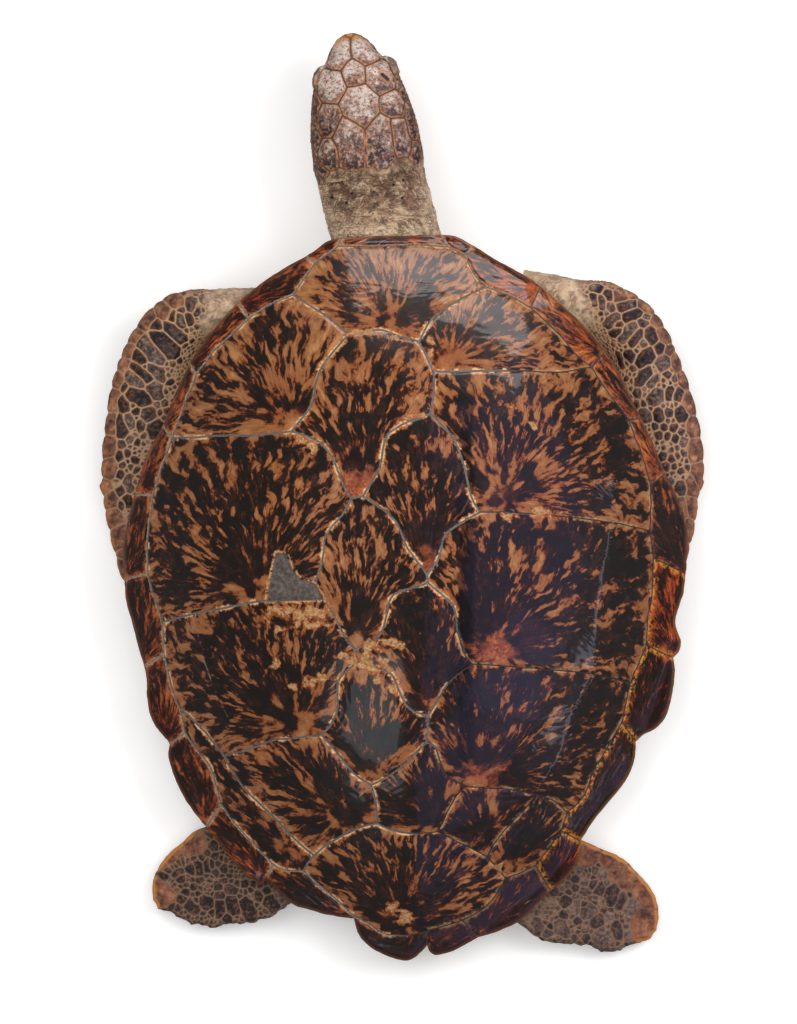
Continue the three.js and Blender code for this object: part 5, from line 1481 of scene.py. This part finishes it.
# A hind flipper: rings drawn in from its ragged outline on the top, mirrored for the bottom. The height is
# the middle plane, sloped from root to tip, plus or minus half the thickness, rounded at the edge.
def makeHind(name, plan, view, scales, plates):
    look = hindLook
    seed = plan["seed"]
    outline = evenLine([*plan["outline"], plan["outline"][0]], 1.0)[:-1]
    walked = np.arange(len(outline)) * 1.0
    t = np.linspace(0, len(outline), look["columns"], endpoint=False)
    border = np.stack([np.interp(t, walked, outline[:, k], period=len(outline)) for k in (0, 1)], axis=1)
    middle, turn = middleOf(border)
    ragged = easeStep(plan["raggedFrom"] - 14, plan["raggedFrom"] + 6, border[:, 1])
    teeth = 1.3 * roughNoise(t / 7, 0 * t, seed, 3) * ragged + 0.35 * softNoise(t / 4, 0 * t, seed + 1)
    away = np.linalg.norm(border - middle, axis=1)
    border = border + (border - middle) / away[:, None] * teeth[:, None]
    shares = np.linspace(0, 1, look["rings"]) ** 1.35 * 0.985
    grid = border[None] + (middle - border)[None] * shares[:, None, None]
    places = grid.reshape(-1, 2)
    x, y = places[:, 0], places[:, 1]
    edge = segmentDistance(x, y, np.concatenate([border, np.roll(border, -1, axis=0)], axis=1))
    run = np.array(plan["tip"][:2], float) - plan["root"][:2]
    share = np.clip(((x - plan["root"][0]) * run[0] + (y - plan["root"][1]) * run[1]) / (run @ run), 0, 1)
    level = plan["root"][2] + (plan["tip"][2] - plan["root"][2]) * share
    half = 0.5 * look["thickness"] * (1 + 0.6 * (1 - share))
    rounded = np.sqrt(np.maximum(1 - (1 - np.minimum(edge / look["bevel"], 1)) ** 2, 0))
    large = np.concatenate([toSheet(scales, view), toSheet(plates, view)])
    small = fillScales(*aroundPlan(x, y), look["fill"], look["fillRadius"], seed, large, 0.5, len(scales))
    gap, owner = scalePattern(x, y, np.concatenate([large, small]))
    brown = ((owner >= len(scales)) & (owner < len(large))).astype(float)
    tone = cellNumber(owner, 5 * owner, seed) - plan["darker"]
    relief = scaleRelief(gap, x, y, look, 0.5, 0.2, 3, seed + 2)
    crease = wrinkles(x, y, seed + 5, (20, 80, 140), 1.8)
    hide = 0.85 * easeStep(0.35, 0.05, share) * (owner >= len(large))
    rise = half * rounded + relief * easeStep(0.5, 4, edge)
    top = onFrame(x, y, level + rise)
    bottom = onFrame(x, y, level - rise)
    rows, columns = grid.shape[:2]
    count = rows * columns
    peak = np.stack([top[-columns:].mean(axis=0), bottom[-columns:].mean(axis=0)])
    points = np.concatenate([top, bottom[columns:], peak])
    upper = ringQuads(rows, columns)
    lower = np.where(upper < columns, upper, upper + count - columns)[:, ::-1]
    fans = np.concatenate([
        fanTriangles(rows - 1, columns, len(points) - 2, True),
        fanTriangles(rows - 2, columns, len(points) - 1, False, count),
    ])
    quads = np.concatenate([upper, lower])
    if turn > 0:
        quads = quads[:, ::-1]
        fans = fans[:, ::-1]
    piece = makeMesh(name, points, quads, fans)
    outer = brown * easeStep(4.6, 2.0, edge + 0.8 * softNoise(x / 5, y / 5, 3)) * 0.95
    for key, value in {
        "scaleEdge": gap, "scaleTone": tone, "brown": brown, "hide": hide, "crease": crease, "outer": outer,
    }.items():
        ends = np.array([value[-columns:].mean()] * 2)
        giveValues(piece, key, np.concatenate([value, value[columns:], ends]))
    return piece


hindScaleHorn = makeScaly("hind flipper scales", {
    "roughness": 0.4, "coat": 0.22, "mottleScale": 0.3, "toneShare": 0.3, "cloudShare": 0.4, "bump": 0.5,
    "scaleRamp": [(0.34, 32, 25, 23), (0.5, 54, 42, 38), (0.62, 92, 74, 64), (0.78, 132, 112, 98)],
    "flecks": [(0.35, 4.0, (140, 82, 48), 0.4)], "outerTone": (194, 124, 54),
    "brownRamp": [(0.32, 64, 38, 30), (0.44, 106, 62, 42), (0.56, 134, 84, 54), (0.72, 158, 108, 76)],
    "rimWidth": 1.8, "rimWander": 3.0, "rimShare": 0.5, "rimRamp": [(0.4, 88, 62, 48), (0.6, 136, 96, 64)],
    "lineRamp": [(0.3, 92, 70, 54), (0.55, 134, 106, 82), (0.75, 166, 134, 102)],
    "lineWidth": 0.65, "lineCore": 0.1,
    "hideRamp": [(0.3, 84, 68, 56), (0.5, 116, 96, 80), (0.7, 140, 118, 98)],
    "hideDirections": (20, 80, -40), "hideFineness": 3.0, "creaseTone": (50, 40, 34), "creaseShare": 0.7,
})
stand(makeHind("hind_flipper_left_scales", leftHind, leftHindView, leftHindScales, leftHindPlates),
      hindScaleHorn, "hind_scales", "hind_flipper_left")
stand(makeHind("hind_flipper_right_scales", rightHind, rightHindView, rightHindScales, rightHindPlates),
      hindScaleHorn, "hind_scales", "hind_flipper_right")


# ---- tail, plastron and body skin ----

tailStations = [  # x, y, height, half width and half depth
    (424, 836, 46, 26, 16), (425, 864, 42, 22, 15), (426, 900, 40, 15, 11), (427, 928, 38, 8, 6.5),
    (427, 942, 37, 2.5, 2.5),
]


# the tail: oval sections along its line, covered in small scales
def makeTail():
    rows = 160
    columns = 110
    values = stationValues(tailStations, np.linspace(0, 4, rows))
    angle = roundAngles(columns)
    x = values[..., 0] + values[..., 3] * np.cos(angle)
    y = values[..., 1] + 0 * angle
    z = values[..., 2] + values[..., 4] * np.sin(angle)
    arc = values[..., 3] * angle
    seeds = fillScales((-10, 830), (180, 950), 4.6, 1.6, 81)
    gap, owner = scalePattern(arc, y, seeds)
    relief = 1.0 * (1 - np.exp(-np.maximum(gap, 0) / 1.2)) - 0.6
    points = relieved(onFrame(x, y, z), relief * easeStep(0, 4, np.arange(rows - 1, -1, -1))[:, None])
    return makeTube("tail_scales", points, {"scaleEdge": gap, "scaleTone": cellNumber(owner, owner, 2)})


stand(makeTail(), hindScaleHorn, "hind_scales", "tail")

belly = {
    "front": 292.0, "rear": 838.0, "halfWidth": 168.0, "thickness": 26.0, "edge": 15.0,
    "bridgeHalfWidth": 216.0, "bridgeHeight": 62.0, "rows": 300, "columns": 280,
}
bellySeams = [  # the middle seam and the cross seams of the belly scutes
    [(405, 300), (403, 400), (407, 500), (404, 620), (406, 740), (405, 834)],
    [(330, 330), (370, 344), (405, 352), (440, 344), (480, 330)],
    [(255, 398), (320, 420), (405, 430), (490, 420), (555, 398)],
    [(200, 500), (300, 516), (405, 520), (510, 516), (610, 500)],
    [(200, 610), (300, 628), (405, 634), (510, 628), (610, 610)],
    [(262, 712), (330, 726), (405, 730), (480, 726), (548, 712)],
    [(255, 390), (243, 450), (238, 520), (240, 600), (262, 712)],
    [(555, 390), (567, 450), (572, 520), (570, 600), (548, 712)],
]


# The belly shell: sections from front to rear that are flat below and turn up at the bridges; the half
# width is halfWidth * (1 - |t|^p)^(1/2.1), blunter in front than behind.
def makePlastron():
    rows = belly["rows"]
    spread = np.linspace(0.35, 17.35, rows) / 17.7
    share = (0.5 - 0.5 * np.cos(math.pi * spread))[:, None]
    y = belly["front"] + (belly["rear"] - belly["front"]) * share
    t = 2 * share - 1
    power = np.where(t < 0, 2.6, 2.2)
    half = belly["halfWidth"] * np.maximum(1 - np.abs(t) ** power, 0) ** (1 / 2.1)
    bridge = np.exp(-(((share - 0.42) / 0.2) ** 4))
    wing = half + bridge * (belly["bridgeHalfWidth"] - half)
    lift = bridge * belly["bridgeHeight"]
    middle = 0.5 * (half + wing)
    # the right half of a section, from the middle of the bottom round to the middle of the top
    none = 0 * half
    edge, thickness = belly["edge"], belly["thickness"]
    across = [
        none, 0.72 * half, 0.93 * half, middle, wing, wing - 2, middle - 6, 0.8 * half, 0.3 * half, none,
    ]
    level = [
        none, none, 3 + 0.08 * lift, 6 + 0.4 * lift, edge - 5 + lift, edge + lift, edge + 4 + 0.55 * lift,
        thickness + 0.1 * lift, thickness + none, thickness + none,
    ]
    place = np.array([0, 3.2, 4.2, 5.4, 6.6, 6.9, 8.0, 9.2, 11.2, 12.4])
    columns = belly["columns"] // 2
    walk = np.linspace(0, place[-1], columns)
    low = np.clip(np.searchsorted(place, walk, side="right") - 1, 0, len(place) - 2)
    part = ((walk - place[low]) / (place[low + 1] - place[low]))[None]
    across = np.concatenate(across, axis=1)
    level = np.concatenate(level, axis=1)
    x = across[:, low] * (1 - part) + across[:, low + 1] * part
    z = level[:, low] * (1 - part) + level[:, low + 1] * part
    x = np.concatenate([x, -x[:, -2:0:-1]], axis=1)
    z = np.concatenate([z, z[:, -2:0:-1]], axis=1)
    x = sheet["x"] + x
    y = y + 0 * x
    gap = np.full(x.shape, 1e6)
    for line in bellySeams:
        gap = np.minimum(gap, segmentDistance(x, y, segmentsOf(evenLine(line, 12))))
    under = easeStep(17, 8, z - 0.6 * lift)
    groove = 1.3 * bell(gap, 2.2) * under
    points = onFrame(x, y, z + groove)
    return makeTube("plastron_horn", points, {"seamDistance": gap + 30 * (1 - under), "edgeDistance": z})


# pale horn with brown clouds and streaks across, and brown seams
def makeBellyHorn():
    material, shader = newMaterial("belly horn", {
        "Roughness": 0.4, "Coat Weight": 0.3, "Coat Roughness": 0.2, "Specular IOR Level": 0.5,
    })
    places = placesInMillimetres()
    cloud = noiseOf(places, 0.018, 5.0, 0.6, distortion=0.5)
    streak = noiseOf(vectorSums("MULTIPLY", places, (0.3, 0.05, 0.1)), 1.0, 4.0, 0.6)
    ramp = [(0.28, 98, 60, 32), (0.42, 166, 122, 70), (0.55, 204, 168, 112), (0.75, 222, 196, 148)]
    line = times(ranged(readValue("seamDistance"), 2.6, 0.8), 0.8)
    horn = blendColours(line, colourRamp(around(streak, 0.5, cloud), ramp), (84, 58, 38))
    feed(shader, {"Base Color": horn, "Normal": bumpOf(noiseOf(places, 0.15, 5.0, 0.6), 0.25, 0.001)})
    return material


stand(makePlastron(), makeBellyHorn(), "belly_horn", "plastron")

body = {
    "front": 272.0, "rear": 864.0, "halfWidth": 206.0,
    "levels": [(9, 0.8), (22, 0.93), (48, 1.0), (78, 1.0), (128, 0.98)],  # height and share of the width
}


# height of the shell's underside over a point: the hollow behind the rim, then the level ceiling
def undersideHeight(x, y):
    border = borderOf(edgeRing)[0]
    offset = border - [dome["x"], dome["y"]]
    bearing = np.arctan2(offset[:, 1], offset[:, 0])
    order = np.argsort(bearing)
    here = np.arctan2(y - dome["y"], x - dome["x"])
    reach = np.interp(here, bearing[order], np.hypot(offset[:, 0], offset[:, 1])[order], period=2 * math.pi)
    rim = np.interp(here, bearing[order], domeHeight(border[:, 0], border[:, 1])[order], period=2 * math.pi)
    inset = reach - np.hypot(x - dome["x"], y - dome["y"])
    return rim - 3 + (dome["ceiling"] - rim + 3) * easeStep(38, 62, inset)


# the skin wall between the two shells: rounded rings that widen upwards, until they meet the shell above
def makeBodySkin():
    rows = 90
    columns = 560
    angle = roundAngles(columns)
    c = np.cos(angle)
    s = np.sin(angle)
    power = np.where(s > 0, 0.86, 0.72)
    middle = 0.5 * (body["front"] + body["rear"])
    halfLength = 0.5 * (body["rear"] - body["front"])
    wallX = sheet["x"] + body["halfWidth"] * squared(c, 0.8)
    wallY = middle + halfLength * squared(s, power)
    top = np.minimum(undersideHeight(wallX, wallY) + 1.0, 128)
    z = 9 + (top - 9) * np.linspace(0, 1, rows)[:, None]
    scale = smoothCurve(body["levels"], z)
    x = sheet["x"] + (wallX - sheet["x"]) * scale
    y = middle + (halfLength - 30 * (1 - scale)) * squared(s, power)
    walked = 3.1 * np.arange(columns)[None] + 0 * z
    crease = wrinkles(walked, z, 160, (85, 62, 110), 3.0)
    height = 1.2 * roughNoise(walked / 18, z / 18, 170, 2) - 1.3 * crease
    points = relieved(onFrame(x, y, z), height * easeStep(1.0, 0.9, np.linspace(0, 1, rows))[:, None])
    return makeTube("body_hide", points, {"crease": crease})


bodyHide = makeHide("body hide", {
    "ramp": [(0.25, 84, 66, 50), (0.45, 116, 94, 72), (0.6, 140, 116, 90), (0.75, 158, 136, 108)],
    "darkTone": (70, 52, 36), "creaseTone": (54, 40, 30), "creaseShare": 0.75, "fineness": 5.0,
    "paleTone": (164, 140, 112), "paleShare": 0.5, "paleDirections": (80, 40),
    "deepDirections": (90, 60, 110),
})
stand(makeBodySkin(), bodyHide, "body_hide", "body_skin")


# ---- floor, lights and camera ----

# a plain pale floor that glows a little and isn't mirrored in the varnish
def makeFloor():
    mesh = bpy.data.meshes.new("floor")
    mesh.from_pydata([(-20, -20, 0), (20, -20, 0), (20, 20, 0), (-20, 20, 0)], [], [(0, 1, 2, 3)])
    floor = addObject("floor", mesh)
    material = newMaterial("pale floor", {
        "Roughness": 0.9, "Coat Weight": 0.0, "Coat Roughness": 0.15, "Specular IOR Level": 0.1,
        "Base Color": (0.9, 0.9, 0.9, 1.0), "Emission Color": (1.0, 1.0, 1.0, 1.0),
        "Emission Strength": 0.24,
    })[0]
    mesh.materials.append(material)
    floor.visible_glossy = False


# A soft panel of light that looks at its target, unseen by the camera itself; seenIn is "matt" for a light
# that isn't mirrored in the varnish, or "sheen" for one that is only mirrored.
def makeLight(name, place, size, watts, tone, seenIn, target=(0, 0, 0.1)):
    light = bpy.data.lights.new(name, "AREA")
    light.shape = "RECTANGLE"
    light.size, light.size_y = size
    light.energy = watts
    light.color = tone
    holder = addObject(name, light)
    toward = Vector(target) - Vector(place)
    holder.location = place
    holder.rotation_euler = toward.to_track_quat("-Z", "Y").to_euler()
    holder.visible_camera = False
    holder.visible_glossy = seenIn != "matt"
    holder.visible_diffuse = seenIn != "sheen"


view = {"x": 0.0065, "y": -0.048, "height": 12.0, "plane": 0.08}


# the camera looks straight down; its lens is such that 1.024 m at the view's plane fill the picture's height
def makeCamera():
    data = bpy.data.cameras.new("camera")
    data.sensor_width = 36.0
    data.lens = 36.0 * (view["height"] - view["plane"]) / 1.024
    data.clip_end = 100.0
    camera = addObject("camera", data)
    camera.location = (view["x"], view["y"], view["height"])
    camera.rotation_euler = (0.0, 0.0, math.pi)
    bpy.context.scene.camera = camera


makeFloor()
makeLight("panel on the right", (-1.9, -0.7, 2.5), (1.6, 1.6), 50, (1.0, 0.99, 0.98), "matt")
makeLight("panel on the left", (1.5, -0.9, 3.0), (2.4, 2.4), 30, (1.0, 0.99, 0.98), "matt")
makeLight("soft sky", (0.5, -0.2, 4.0), (5.0, 5.0), 118, (1.0, 1.0, 1.0), "matt")
makeLight("haze on the right", (-2.52, 0.0, 2.15), (6.0, 3.48), 29, (0.52, 0.46, 1.0), "sheen")
makeLight("haze behind", (-1.7, 2.5, 1.45), (3.2, 1.5), 6.5, (0.52, 0.46, 1.0), "sheen", (0, 0.25, 0.1))
makeLight("low panel in front", (-0.6, -2.8, 0.8), (3.6, 0.8), 36, (1.0, 0.96, 0.95), "sheen")
makeLight("strip on the right", (-2.75, 0.75, 0.36), (3.4, 0.1), 3.2, (0.85, 0.85, 1.0), "sheen")
makeLight("panel behind", (1.05, 2.45, 2.2), (1.1, 1.7), 7.5, (0.8, 0.92, 1.0), "sheen")
world = bpy.data.worlds.new("studio")
world.use_nodes = True
world.node_tree.nodes["Background"].inputs[0].default_value = (1.0, 1.0, 1.0, 1.0)
world.node_tree.nodes["Background"].inputs[1].default_value = 0.14
bpy.context.scene.world = world
bpy.context.scene.view_settings.view_transform = "Standard"
makeCamera()
